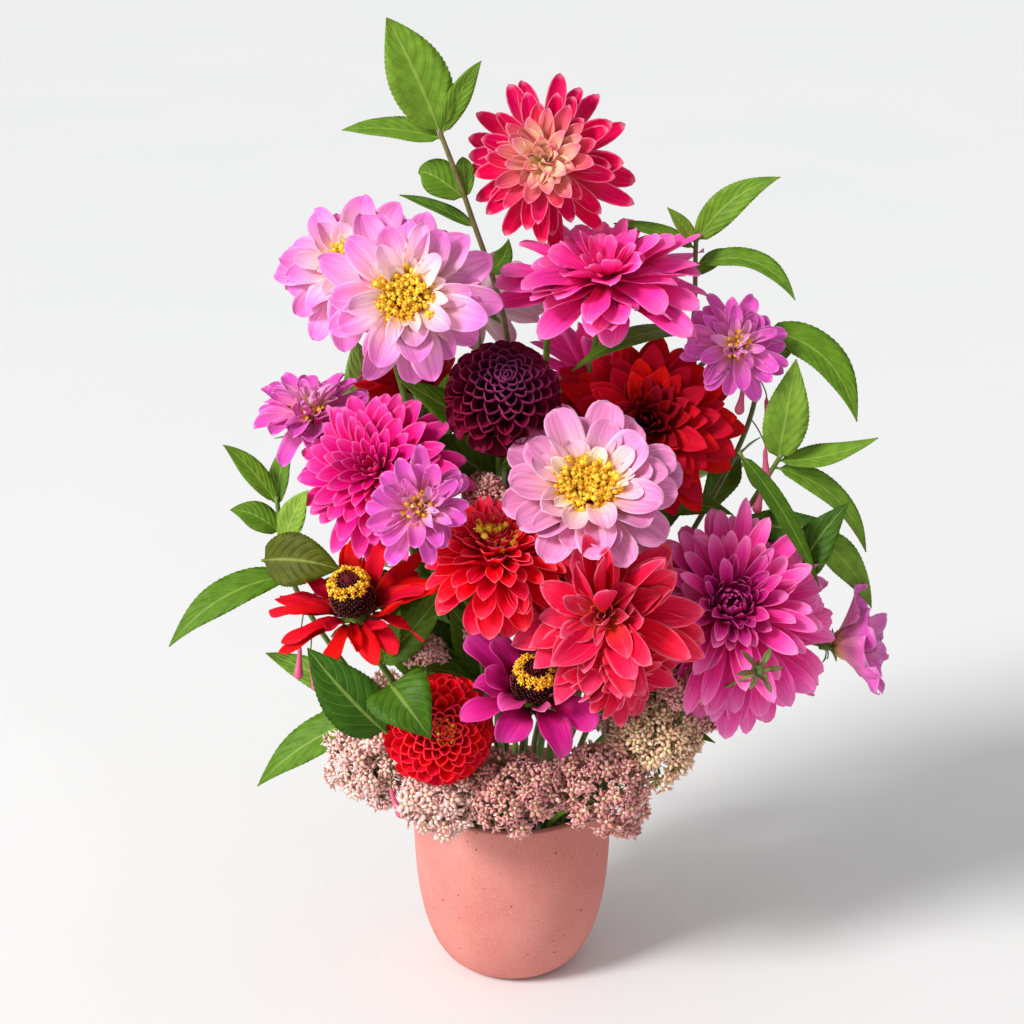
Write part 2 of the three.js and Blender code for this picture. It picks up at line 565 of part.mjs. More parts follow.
const LEAFY_STEMS = {
  leafy_stem_top: {
    mouth: [-8, 30],
    through: [[-6, 16, 260], [-2, 2, 400], [-24, -2, 480], [-41, -2, 527]],
    leaves: [
      { from: 0.99, tip: [-69, 0, 588], width: 36, face: [10, 10], teeth: 4 },
      { from: 0.985, tip: [-95, 0, 526], width: 20, face: [0, 60], teeth: 4, arch: [0, 0, 3] },
      { from: 0.99, tip: [-17, 0, 564], width: 14, face: [20, 10] },
      { from: 0.9, tip: [-53, 4, 500], width: 22, face: [0, 30], arch: [-4, 0, 6] },
      { from: 0.9, tip: [-28, 12, 508], width: 12, face: [0, 30], arch: [0, 0, 4], teeth: 2 },
      { from: 0.86, tip: [-64, 12, 486], width: 10, face: [0, 60], arch: [0, 0, 2], teeth: 2 },
      { from: 0.8, tip: [-2, -12, 466], width: 14, face: [0, 40], arch: [2, 0, -3], teeth: 2 },
    ],
  },
  leafy_stem_top_right: {
    mouth: [13, 30],
    through: [[70, 32, 300], [104, 29, 390], [105, 4, 463]],
    leaves: [
      { from: 0.99, tip: [151, 0, 499], width: 19, face: [10, 30], arch: [-4, 0, 5], teeth: 4 },
      { from: 0.95, tip: [160, -20, 433], width: 17, face: [0, 60], arch: [5, 0, 12], teeth: 4 },
      { from: 0.98, tip: [58, 10, 470], width: 12, face: [0, 60], arch: [0, 0, 3], teeth: 2 },
      { from: 0.99, tip: [88, 2, 481], width: 9, face: [0, 20], arch: [0, 0, 1], teeth: 2 },
      { from: 0.93, tip: [128, 18, 452], width: 10, face: [60, 40], arch: [0, 0, 3], teeth: 2 },
      { from: 0.82, tip: [34, -20, 391], width: 15, face: [0, 60], arch: [0, -9, 12], teeth: 4 },
    ],
  },
  leafy_stem_right_arch: {
    mouth: [36, 12],
    through: [[96, 24, 250], [140, 14, 350], [146, 8, 413]],
    leaves: [
      { from: 0.98, tip: [199, -18, 360], width: 31, face: [20, 40], arch: [8, 0, 10], teeth: 4 },
      { from: 0.9, tip: [176, 30, 400], width: 18, face: [90, 60], arch: [0, 0, 6] },
      { from: 0.6, tip: [150, 44, 330], width: 22, face: [120, 50], arch: [0, 4, 5] },
    ],
  },
  leafy_stem_right: {
    mouth: [46, 2],
    through: [[104, 4, 220], [136, -6, 296], [156, -20, 341]],
    leaves: [
      { from: 0.98, tip: [162, -20, 398], width: 27, face: [0, 20], teeth: 4, arch: [0, -2, 0] },
      { from: 0.98, tip: [211, -20, 351], width: 17, face: [10, 60], teeth: 4, arch: [0, 0, -4] },
      { from: 0.96, tip: [208, -20, 280], width: 18, face: [20, 50], teeth: 4, arch: [8, 0, 8] },
      { from: 0.8, tip: [190, -24, 300], width: 24, face: [20, 40], arch: [0, 0, -4] },
      { from: 0.6, tip: [176, 30, 262], width: 20, face: [80, 50], arch: [0, 0, 6] },
    ],
  },
  leafy_stem_left: {
    mouth: [-44, 3],
    through: [[-96, 2, 190], [-132, -10, 262], [-138, -12, 312]],
    leaves: [
      { from: 0.98, tip: [-168, -10, 343], width: 14, face: [0, 30], teeth: 4 },
      { from: 0.97, tip: [-128, 6, 344], width: 15, face: [-30, 20], arch: [-3, 0, 0] },
      { from: 0.9, tip: [-166, -8, 302], width: 18, face: [0, 40] },
      { from: 0.8, tip: [-106, -42, 290], width: 28, face: [-20, 40], arch: [0, -3, 5], teeth: 4 },
      { from: 0.78, tip: [-203, -30, 224], width: 24, face: [-10, 50], arch: [-4, 0, 8], teeth: 4 },
    ],
  },
  leafy_stem_lower_left: {
    mouth: [-44, -10],
    through: [[-60, -22, 152], [-76, -40, 184], [-76, -55, 206]],
    leaves: [
      { from: 0.98, tip: [-120, -92, 236], width: 33, face: [-10, 40], teeth: 4, arch: [-3, -11, -6] },
      { from: 0.98, tip: [-46, -121, 202], width: 27, face: [0, 40], teeth: 4, arch: [0, -7, 17] },
      { from: 0.8, tip: [-153, -40, 137], width: 27, face: [-10, 50], arch: [-4, 0, 6], teeth: 4 },
      { from: 0.8, tip: [-150, 6, 204], width: 20, face: [-40, 50], arch: [-4, 0, 5] },
    ],
  },
  leafy_stem_back_left: {
    mouth: [-23, 39],
    through: [[-56, 70, 190], [-78, 78, 262], [-84, 70, 320]],
    leaves: [
      { from: 0.98, tip: [-96, 74, 382], width: 30, face: [-150, 20] },
      { from: 0.9, tip: [-146, 66, 322], width: 26, face: [-120, 50], arch: [0, 0, 8] },
      { from: 0.8, tip: [-40, 108, 300], width: 28, face: [180, 50], arch: [0, 4, 8] },
      { from: 0.6, tip: [-130, 84, 218], width: 28, face: [-130, 50], arch: [0, 0, 8] },
    ],
  },
  leafy_stem_back_right: {
    mouth: [23, 39],
    through: [[64, 74, 180], [86, 84, 240], [92, 78, 296]],
    leaves: [
      { from: 0.98, tip: [98, 84, 356], width: 30, face: [150, 20] },
      { from: 0.9, tip: [154, 74, 300], width: 26, face: [120, 50], arch: [0, 0, 8] },
      { from: 0.8, tip: [40, 112, 280], width: 28, face: [180, 50], arch: [0, 4, 8] },
      { from: 0.6, tip: [136, 90, 200], width: 28, face: [130, 50], arch: [0, 0, 8] },
    ],
  },
};

for (const [name, spec] of Object.entries(FLOWER_STEMS)) flowerStem(name, spec);
for (const [name, spec] of Object.entries(LEAFY_STEMS)) leafyStem(name, spec);

// ---------------------------------------------------------------- stonecrop heads
// size: half the head's width, depth and height. Each head is one body with its stem.
const HEAD_DETAIL = 2;
const HEAD_STUD = 0.16;
const STONECROP = {
  stonecrop_left: { mouth: [-36, -25], at: [-79, -56, 151], size: [25, 22, 21], face: [-60, 20] },
  stonecrop_front_left: { mouth: [-22, -41], at: [-42, -84, 144], size: [18, 14, 14], face: [-20, 20] },
  stonecrop_front: { mouth: [-5, -45], at: [1, -85, 147], size: [22, 18, 17], face: [0, 20] },
  stonecrop_front_right: { mouth: [22, -40], at: [53, -80, 146], size: [23, 20, 19], face: [20, 20] },
  stonecrop_cream: { mouth: [38, -26], at: [86, -59, 171], size: [24, 21, 19], face: [50, 30] },
  stonecrop_right: { mouth: [46, -11], at: [115, -31, 190], size: [17, 15, 13], face: [60, 40] },
  stonecrop_back_left: { mouth: [-38, 24], at: [-72, 40, 149], size: [25, 22, 15], face: [-120, 20] },
  stonecrop_back: { mouth: [2, 44], at: [2, 84, 150], size: [26, 19, 15], face: [180, 20] },
  stonecrop_back_right: { mouth: [39, 25], at: [74, 42, 149], size: [25, 22, 15], face: [120, 20] },
};

for (const [name, { mouth, at, size, face }] of Object.entries(STONECROP)) {
  const start = new THREE.Vector3(mouth[0], mouth[1], MOUTH);
  const bend = flowerBend(start, riseOf(mouth), vector(at), heading(face));
  const head = studded(HEAD_DETAIL, HEAD_STUD).scale(...size);
  const parts = [leadUp(mouth, 2, bend), solid(head, new THREE.Matrix4().setPosition(...at))];
  addNode(name, fuse(parts), name.endsWith("cream") ? "cream" : "stonecrop");
}

// ---------------------------------------------------------------- vase and water
const VASE_SIDES = 32;
const WATER_SIDES = 16;
const OUTER_ROWS = 7;
const INNER_ROWS = 3;
const RIM_ROUND = 1;
const ROW_BIAS = 1.7; // how much closer together the rows are near the foot
const CURVE = { height: 3.1, radius: 1.9 }; // exponents of the wall's curve

// The outer radius at a height: a flat foot, a quick round turn and nearly upright sides.
function vaseRadius(height) {
  const share = 1 - THREE.MathUtils.clamp(height / VASE_HEIGHT, 0, 1);
  return FOOT_RADIUS + (RIM_RADIUS - FOOT_RADIUS) * (1 - share ** CURVE.height) ** (1 / CURVE.radius);
}

function wallProfile(inset, from, to, rows) {
  return Array.from({ length: rows + 1 }, (_, i) => {
    const height = from + (to - from) * (i / rows) ** ROW_BIAS;
    return new THREE.Vector2(vaseRadius(height) - inset, height);
  });
}

function turned(profile, sides) {
  return solid(new THREE.LatheGeometry(profile, sides).rotateX(Math.PI / 2));
}

function vaseSolid() {
  return turned([
    new THREE.Vector2(0, 0),
    ...wallProfile(0, 0, VASE_HEIGHT - RIM_ROUND, OUTER_ROWS),
    new THREE.Vector2(RIM_RADIUS - RIM_ROUND, VASE_HEIGHT),
    new THREE.Vector2(RIM_RADIUS - WALL + RIM_ROUND, VASE_HEIGHT),
    ...wallProfile(WALL, FLOOR, VASE_HEIGHT - RIM_ROUND, INNER_ROWS).reverse(),
    new THREE.Vector2(0, FLOOR),
  ], VASE_SIDES);
}

function waterSolid() {
  const bottom = FLOOR + GAP;
  const body = turned([
    new THREE.Vector2(0, bottom),
    ...wallProfile(WALL + 3 * GAP, bottom, WATER_TOP, INNER_ROWS),
    new THREE.Vector2(0, WATER_TOP),
  ], WATER_SIDES);
  const bores = holes.map(({ mouth, radius }) => {
    const rise = riseOf(mouth);
    const from = footOf(mouth).addScaledVector(rise, -2 * FLOOR);
    const to = footOf(mouth).addScaledVector(rise, WATER_TOP);
    return sweep(new THREE.LineCurve3(from, to), 1, (radius + GAP) / Math.cos(Math.PI / STEM_SIDES));
  });
  return body.subtract(wasm.Manifold.union(bores));
}

addNode("water", waterSolid(), "water", 0.1);
addNode("vase", vaseSolid(), "vase", 0.85);

export default bouquet;
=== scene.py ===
import math
from collections import namedtuple

import bpy
import numpy as np
from mathutils import Matrix


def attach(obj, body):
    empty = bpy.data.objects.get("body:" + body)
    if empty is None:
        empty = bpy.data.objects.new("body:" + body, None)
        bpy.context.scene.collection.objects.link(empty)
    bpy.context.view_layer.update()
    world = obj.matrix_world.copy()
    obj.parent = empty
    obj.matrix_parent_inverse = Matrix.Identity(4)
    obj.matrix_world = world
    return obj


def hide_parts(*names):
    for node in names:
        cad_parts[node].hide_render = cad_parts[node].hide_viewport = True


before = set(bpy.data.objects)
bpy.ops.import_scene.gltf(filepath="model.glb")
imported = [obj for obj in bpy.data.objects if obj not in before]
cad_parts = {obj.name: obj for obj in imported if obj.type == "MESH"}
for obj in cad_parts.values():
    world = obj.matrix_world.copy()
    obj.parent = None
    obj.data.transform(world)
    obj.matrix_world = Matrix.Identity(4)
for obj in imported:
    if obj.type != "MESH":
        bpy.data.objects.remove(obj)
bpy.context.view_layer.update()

MM = 0.001
GOLDEN = math.pi * (3 - math.sqrt(5))

# ---------------------------------------------------------------- the vase's sizes
VASE_HEIGHT = 116
RIM_RADIUS = 61
FOOT_RADIUS = 30
WALL = 5
FLOOR = 7
VASE_CURVE = (3.1, 1.9)  # exponents of the wall's curve
MOUTH = 106  # height at which a stem leaves the straight part of its run
STEM_FOOT = 10.5  # height of a stem's cut end
FOOT_SPREAD = 0.48  # how far out a stem's cut end is, as a share of its place in the mouth
ARRIVAL = 45  # length over which a stem turns to its flower's axis

# ---------------------------------------------------------------- directions and curves


def heading(azimuth, elevation):
    """A unit vector: azimuth 0 is the front (-Y), 90 is +X, and elevation is above the horizon."""
    a, e = math.radians(azimuth), math.radians(elevation)
    return np.array([math.sin(a) * math.cos(e), -math.cos(a) * math.cos(e), math.sin(e)])


def unit(vectors):
    return vectors / np.maximum(np.linalg.norm(vectors, axis=-1, keepdims=True), 1e-9)


def around(azimuth, out, up):
    """Points at a distance out from the Z axis and at a height up it."""
    return np.stack([out * np.cos(azimuth), out * np.sin(azimuth), up + 0 * azimuth], axis=1)


def turns(axes, spins=0.0):
    """A rotation for each axis that turns +Z to it, spun about it."""
    z = unit(np.atleast_2d(np.asarray(axes, float)))
    helper = np.where(np.abs(z[:, 2:]) > 0.95, [[1.0, 0.0, 0.0]], [[0.0, 0.0, 1.0]])
    x = unit(np.cross(helper, z))
    y = np.cross(z, x)
    c = np.cos(np.broadcast_to(spins, len(z)))[:, None]
    s = np.sin(np.broadcast_to(spins, len(z)))[:, None]
    return np.stack([x * c + y * s, y * c - x * s, z], axis=2)


def bezier(corners, steps):
    a, b, c, d = (np.asarray(p, float) for p in corners)
    t = np.linspace(0, 1, steps + 1)[:, None]
    return a * (1 - t) ** 3 + 3 * b * t * (1 - t) ** 2 + 3 * c * t * t * (1 - t) + d * t**3


def through(corners, steps):
    """A centripetal Catmull-Rom curve through the corners, with that many steps between two of them."""
    p = np.asarray(corners, float)
    p = np.vstack([2 * p[0] - p[1], p, 2 * p[-1] - p[-2]])
    route = [p[1:2]]
    for i in range(1, len(p) - 2):
        knots = np.cumsum([0] + [np.linalg.norm(p[j + 1] - p[j]) ** 0.5 for j in range(i - 1, i + 2)])
        t = np.linspace(knots[1], knots[2], steps + 1)[1:, None]
        level = list(p[i - 1:i + 3])
        for reach in (1, 2, 3):
            for j in range(4 - reach):
                # The last round blends over the middle stretch alone.
                low, high = (knots[1], knots[2]) if reach == 3 else (knots[j], knots[j + reach])
                level[j] = (level[j] * (high - t) + level[j + 1] * (t - low)) / (high - low)
        route.append(level[0])
    return np.vstack(route)


def at_share(route, share):
    """The point and the direction at a share of a route's length."""
    steps = np.linalg.norm(np.diff(route, axis=0), axis=1)
    place = np.concatenate([[0], np.cumsum(steps)])
    i = min(int(np.searchsorted(place, share * place[-1], side="right")) - 1, len(steps) - 1)
    part = (share * place[-1] - place[i]) / steps[i]
    return route[i] + (route[i + 1] - route[i]) * part, unit(route[i + 1] - route[i])


# ---------------------------------------------------------------- closed shells


class Bundle:
    """Closed shells gathered into one mesh. Each point is marked with its place along and across its
    petal, its petal's tone, and its heart value: 0 at the outside of a bloom, 1 at its eye."""

    def __init__(self):
        self.points, self.faces, self.marks, self.size = [], [], [], 0

    def add(self, points, faces, marks):
        self.points.append(points)
        self.marks.append(np.broadcast_to(marks, (len(points), 4)))
        self.faces += [block + self.size for block in faces]
        self.size += len(points)

    def piece(self, name, material, slot, *nodes):
        mesh = bpy.data.meshes.new(name)
        rows = [row for block in self.faces for row in block.tolist()]
        mesh.from_pydata(np.concatenate(self.points) * MM, [], rows)
        mesh.shade_smooth()
        marks = np.concatenate(self.marks).astype(np.float32)
        petal = mesh.attributes.new("petal", "FLOAT_VECTOR", "POINT")
        petal.data.foreach_set("vector", marks[:, :3].ravel())
        heart = mesh.attributes.new("heart", "FLOAT", "POINT")
        heart.data.foreach_set("value", marks[:, 3])
        mesh.materials.append(material)
        made = bpy.data.objects.new(name, mesh)
        bpy.context.scene.collection.objects.link(made)
        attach(made, "root")
        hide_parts(*nodes)


def sheet_faces(rows, columns):
    """Faces of a thin closed sheet: a grid of points above, the same grid below, and the rim."""
    wide = columns + 1
    count = (rows + 1) * wide
    i, j = np.meshgrid(np.arange(rows), np.arange(columns), indexing="ij")
    corner = (i * wide + j).ravel()
    top = np.stack([corner, corner + wide, corner + wide + 1, corner + 1], axis=1)
    ring = np.concatenate([
        np.arange(0, rows * wide, wide),
        rows * wide + np.arange(columns),
        np.arange((rows + 1) * wide - 1, wide - 1, -wide),
        np.arange(columns, 0, -1),
    ])
    onward = np.roll(ring, -1)
    rim = np.stack([ring + count, onward + count, onward, ring], axis=1)
    return np.concatenate([top, top[:, ::-1] + count, rim])


def add_sheets(bundle, middle, normal, half, along, across, tone, heart, place=None):
    """Adds n sheets: middle and normal are (n, rows + 1, columns + 1, 3), half is half the thickness."""
    n, rows, columns = middle.shape[0], middle.shape[1] - 1, middle.shape[2] - 1
    offset = normal * half[..., None]
    points = np.stack([middle + offset, middle - offset], axis=1).reshape(n, -1, 3)
    faces = sheet_faces(rows, columns)
    if place is not None:
        points = points @ place[0].T + place[1]
    u, v = np.meshgrid(along, across, indexing="ij")
    marks = np.empty((n, 2, u.size, 4))
    marks[..., 0] = u.ravel()
    marks[..., 1] = v.ravel()
    marks[..., 2] = np.reshape(tone, (-1, 1, 1))
    marks[..., 3] = np.reshape(heart, (-1, 1, 1)) if np.ndim(heart) < 2 else np.asarray(heart)[:, :, None]
    size = points.shape[1]
    every = (faces[None] + (np.arange(n) * size)[:, None, None]).reshape(-1, 4)
    bundle.add(points.reshape(-1, 3), [every], marks.reshape(-1, 4))


def ring_faces(first, last, sides):
    """Quads between rings of points, from the ring that starts at first to the one that starts at last."""
    k = np.arange(sides)
    after = (k + 1) % sides
    return [
        np.stack([r + k, r + after, r + sides + after, r + sides + k], axis=1)
        for r in range(first, last, sides)
    ]


def lathe(profile, sides):
    """A closed shell turned about Z: its profile goes from the axis to the axis, from low to high."""
    profile = np.asarray(profile, float)
    turn = np.arange(sides) / sides * 2 * math.pi
    body = profile[1:-1]
    rings = np.stack([
        body[:, :1] * np.cos(turn), body[:, :1] * np.sin(turn), np.repeat(body[:, 1:], sides, axis=1),
    ], axis=2).reshape(-1, 3)
    points = np.vstack([[[0, 0, profile[0, 1]]], rings, [[0, 0, profile[-1, 1]]]])
    k = np.arange(sides)
    after = (k + 1) % sides
    last = len(points) - 1
    low = np.stack([np.zeros(sides, int), 1 + after, 1 + k], axis=1)
    top = 1 + (len(body) - 1) * sides
    high = np.stack([np.full(sides, last), top + k, top + after], axis=1)
    quads = ring_faces(1, top, sides)
    along = np.concatenate([[0], np.repeat(np.linspace(0, 1, len(body)), sides), [1]])
    faces = [low, high] + ([np.concatenate(quads)] if quads else [])
    return points, faces, along


def star(lobes, wide, rise, keel):
    """A floret's face: pointed lobes from its middle out, each a thin closed shell."""
    points, faces = [], []
    for k in range(lobes):
        turn = 2 * math.pi * k / lobes
        out = np.array([math.cos(turn), math.sin(turn), 0])
        side = np.array([-math.sin(turn), math.cos(turn), 0])
        up = np.array([0, 0, 1])
        middle = 0.5 * out + rise * 0.3 * up
        points += [
            0 * out, middle + wide * side, out + rise * up, middle - wide * side,
            middle + keel * up, middle - keel * up,
        ]
        a = 6 * k
        for i in range(4):
            j = (i + 1) % 4
            faces += [[a + j, a + i, a + 4], [a + i, a + j, a + 5]]
    along = np.tile([0, 0.5, 1, 0.5, 0.4, 0.4], lobes)
    return np.array(points), [np.array(faces)], along


def scatter(bundle, template, places, axes, sizes, spins, tones, heart):
    """Adds a copy of a template at each place, standing along its axis."""
    points, faces, along = template
    n = len(places)
    sizes = np.broadcast_to(np.asarray(sizes, float).reshape(-1, 1), (n, 1))
    turned = np.einsum("nij,nkj->nki", turns(axes, spins), points[None] * sizes[:, None])
    marks = np.empty((n, len(points), 4))
    marks[..., 0] = along
    marks[..., 1] = 0
    marks[..., 2] = np.broadcast_to(tones, n)[:, None]
    marks[..., 3] = np.broadcast_to(heart, n)[:, None]
    steps = (np.arange(n) * len(points))[:, None, None]
    every = [(block[None] + steps).reshape(-1, block.shape[1]) for block in faces]
    bundle.add((turned + places[:, None]).reshape(-1, 3), every, marks.reshape(-1, 4))


def tube(bundle, route, radii, sides=8, tone=0.5, heart=0.0):
    """A closed round tube along a route. radii: one for all, the first and last, or one for each."""
    ahead = unit(np.gradient(route, axis=0))
    side = unit(np.cross(ahead[0], [0.3, 0.9, 0.2]))
    frames = []
    for direction in ahead:
        side = unit(side - direction * (side @ direction))
        frames.append((side, np.cross(direction, side)))
    turn = np.arange(sides) / sides * 2 * math.pi
    radii = np.linspace(*radii, len(route)) if np.size(radii) == 2 else np.broadcast_to(radii, len(route))
    points = np.vstack([
        centre + radius * (np.cos(turn)[:, None] * a + np.sin(turn)[:, None] * b)
        for centre, radius, (a, b) in zip(route, radii, frames)
    ])
    end = len(points) - sides
    ends = [np.arange(sides)[::-1][None], np.arange(end, len(points))[None]]
    marks = np.zeros((len(points), 4))
    marks[:, 0] = np.repeat(np.linspace(0, 1, len(route)), sides)
    marks[:, 2] = tone
    marks[:, 3] = heart
    bundle.add(points, [np.concatenate(ring_faces(0, end, sides)), *ends], marks)


# ---------------------------------------------------------------- petals
# A whorl of petals. Lists run from the outermost petal to the innermost, and one value stands for all.
# Lengths are shares of the bloom's radius, angles are degrees.
#   aim: mean rise of a petal above the flat, curl: turned up along it, flick: turned up at its tip
#   cup: half the angle that the petal is rolled to at its root and at its tip
#   tip: exponents of its outline, from blunt (2.6, 2.2) to pointed (1.8, 1.2)
#   seat: (distance out, height) of the roots, lean, twist, sway, wave: how unlike the petals are
#   heart: 0 where they have the bloom's outer colours, 1 where they have those of its eye
#   globe: radius of the ball that they stand on instead, its lowest polar angle, how the room for each
#   grows outwards, and how much of that room a petal covers; aim is then measured from the radius
WHORL = dict(
    count=20, aim=(0, 60), curl=(-20, 0), flick=0.0, length=(0.9, 0.4), width=(0.28, 0.14),
    cup=(1.0, 0.6), tip=(2.0, 1.5), base=0.35, widest=0.6, seat=((0.14, -0.08), (0.02, 0.14)), globe=None,
    lean=4.0, twist=8.0, sway=0.05, wave=0.03, crease=0.05, heart=(0.0, 1.0), even=False,
    thick=0.008, rows=8, columns=6, start=0.0,
)


def petal_outline(u, base, widest, tip):
    """Half the width along a petal, 1 at its widest."""
    rising = base + (1 - base) * np.sin(np.clip(u / widest, 0, 1) * math.pi / 2) ** 1.2
    fall = np.clip((u - widest) / (1 - widest), 0, 1)
    falling = np.clip(1 - fall ** tip[0], 0, 1) ** (1 / tip[1])
    return np.maximum(np.where(u < widest, rising, falling), 0.05)


def grow(bundle, settings, radius, place, rng):
    """Adds a whorl of petals to a bloom that is placed by (rotation, middle)."""
    w = {**WHORL, **settings}
    n = w["count"]
    t = (np.arange(n) + 0.5) / n

    def span(values):
        """A value for each petal. The values given are spread evenly from the first petal to the last."""
        values = np.atleast_1d(values)
        return np.interp(t, np.linspace(0, 1, len(values)), values)

    def vary(size):
        """A small random change for each petal."""
        return rng.normal(0.0, size, n)

    step = 2 * math.pi / n if w["even"] else GOLDEN
    azimuth = np.arange(n) * step + w["start"] + np.radians(vary(w["lean"]))
    if w["globe"]:
        ball, lowest, growth, cover = w["globe"]
        down = np.radians(np.linspace(0, lowest, 200))
        filled = np.cumsum(np.sin(down) / (1 + growth * down) ** 2)
        polar = np.interp(1 - t, filled / filled[-1], down)
        root_out = ball * np.sin(polar)
        root_up = ball * np.cos(polar)
        aim = 90 - np.degrees(polar) + span(w["aim"])
        room = (1 + growth * polar) * math.sqrt(2 * math.pi * filled[-1] * down[1] / n)
        width = cover * room
    else:
        seat = np.atleast_2d(w["seat"])
        root_out, root_up = span(seat[:, 0]), span(seat[:, 1])
        aim = span(w["aim"])
        width = span(w["width"])
    curl = np.radians(span(w["curl"]) + vary(2 * w["lean"]))
    pitch = np.radians(aim + vary(w["lean"])) - curl / 2
    length = span(w["length"]) * (1 + vary(0.012 * w["lean"]))
    half_width = width / 2 * (1 + vary(0.012 * w["lean"]))
    twist = np.radians(vary(w["twist"]))
    sway = vary(w["sway"])
    phase = rng.uniform(0, 2 * math.pi, n)
    tone = rng.random(n)

    s = np.linspace(0, 1, w["rows"] + 1)
    u = 1 - (1 - s) ** 1.5
    v = np.linspace(-1, 1, w["columns"] + 1)
    flick = math.radians(w["flick"]) * np.clip((u - 0.6) / 0.4, 0, 1) ** 2
    angle = pitch[:, None] + curl[:, None] * u + flick
    stretch = length[:, None] * np.diff(u, prepend=0)
    before = np.roll(angle, 1, axis=1)
    before[:, 0] = angle[:, 0]
    mean = (angle + before) / 2
    out = root_out[:, None] + np.cumsum(np.cos(mean) * stretch, axis=1)
    up = root_up[:, None] + np.cumsum(np.sin(mean) * stretch, axis=1)

    half = half_width[:, None] * petal_outline(u, w["base"], w["widest"], w["tip"])
    half = half[..., None]
    roll = w["cup"][0] + (w["cup"][1] - w["cup"][0]) * u
    roll = np.where(np.abs(roll) < 0.01, 0.01, roll)[None, :, None]
    across = half * np.sin(roll * v) / roll
    lift = half * (1 - np.cos(roll * v)) / roll
    lift = lift - w["crease"] * half * np.exp(-((v / 0.3) ** 2))
    ripple = np.sin(9 * u[None, :, None] + phase[:, None, None] + 1.7 * np.sign(v))
    lift = lift + w["wave"] * half_width[:, None, None] * 2 * v * v * ripple
    tau = twist[:, None, None] * u[None, :, None]
    across, lift = across * np.cos(tau) - lift * np.sin(tau), across * np.sin(tau) + lift * np.cos(tau)
    across = across + (sway * length)[:, None, None] * (u ** 2)[None, :, None]

    outward = around(azimuth, 1.0, 0.0)[:, None, None]
    side = outward[..., [1, 0, 2]] * [-1, 1, 1]
    ahead_up = np.array([0, 0, 1.0])
    theta = angle[:, :, None, None]
    face = -np.sin(theta) * outward + np.cos(theta) * ahead_up
    middle = out[:, :, None, None] * outward + up[:, :, None, None] * ahead_up
    middle = middle + across[..., None] * side + lift[..., None] * face
    bend = (roll * v + tau)[..., None]
    normal = np.cos(bend) * face - np.sin(bend) * side
    thick = w["thick"] / 2 * (1 - 0.6 * v * v)[None, None] * (1 - 0.4 * u)[None, :, None]
    thick = np.broadcast_to(thick, middle.shape[:3]) * radius
    add_sheets(bundle, middle * radius, normal, thick, u, v, tone, span(w["heart"]), place)


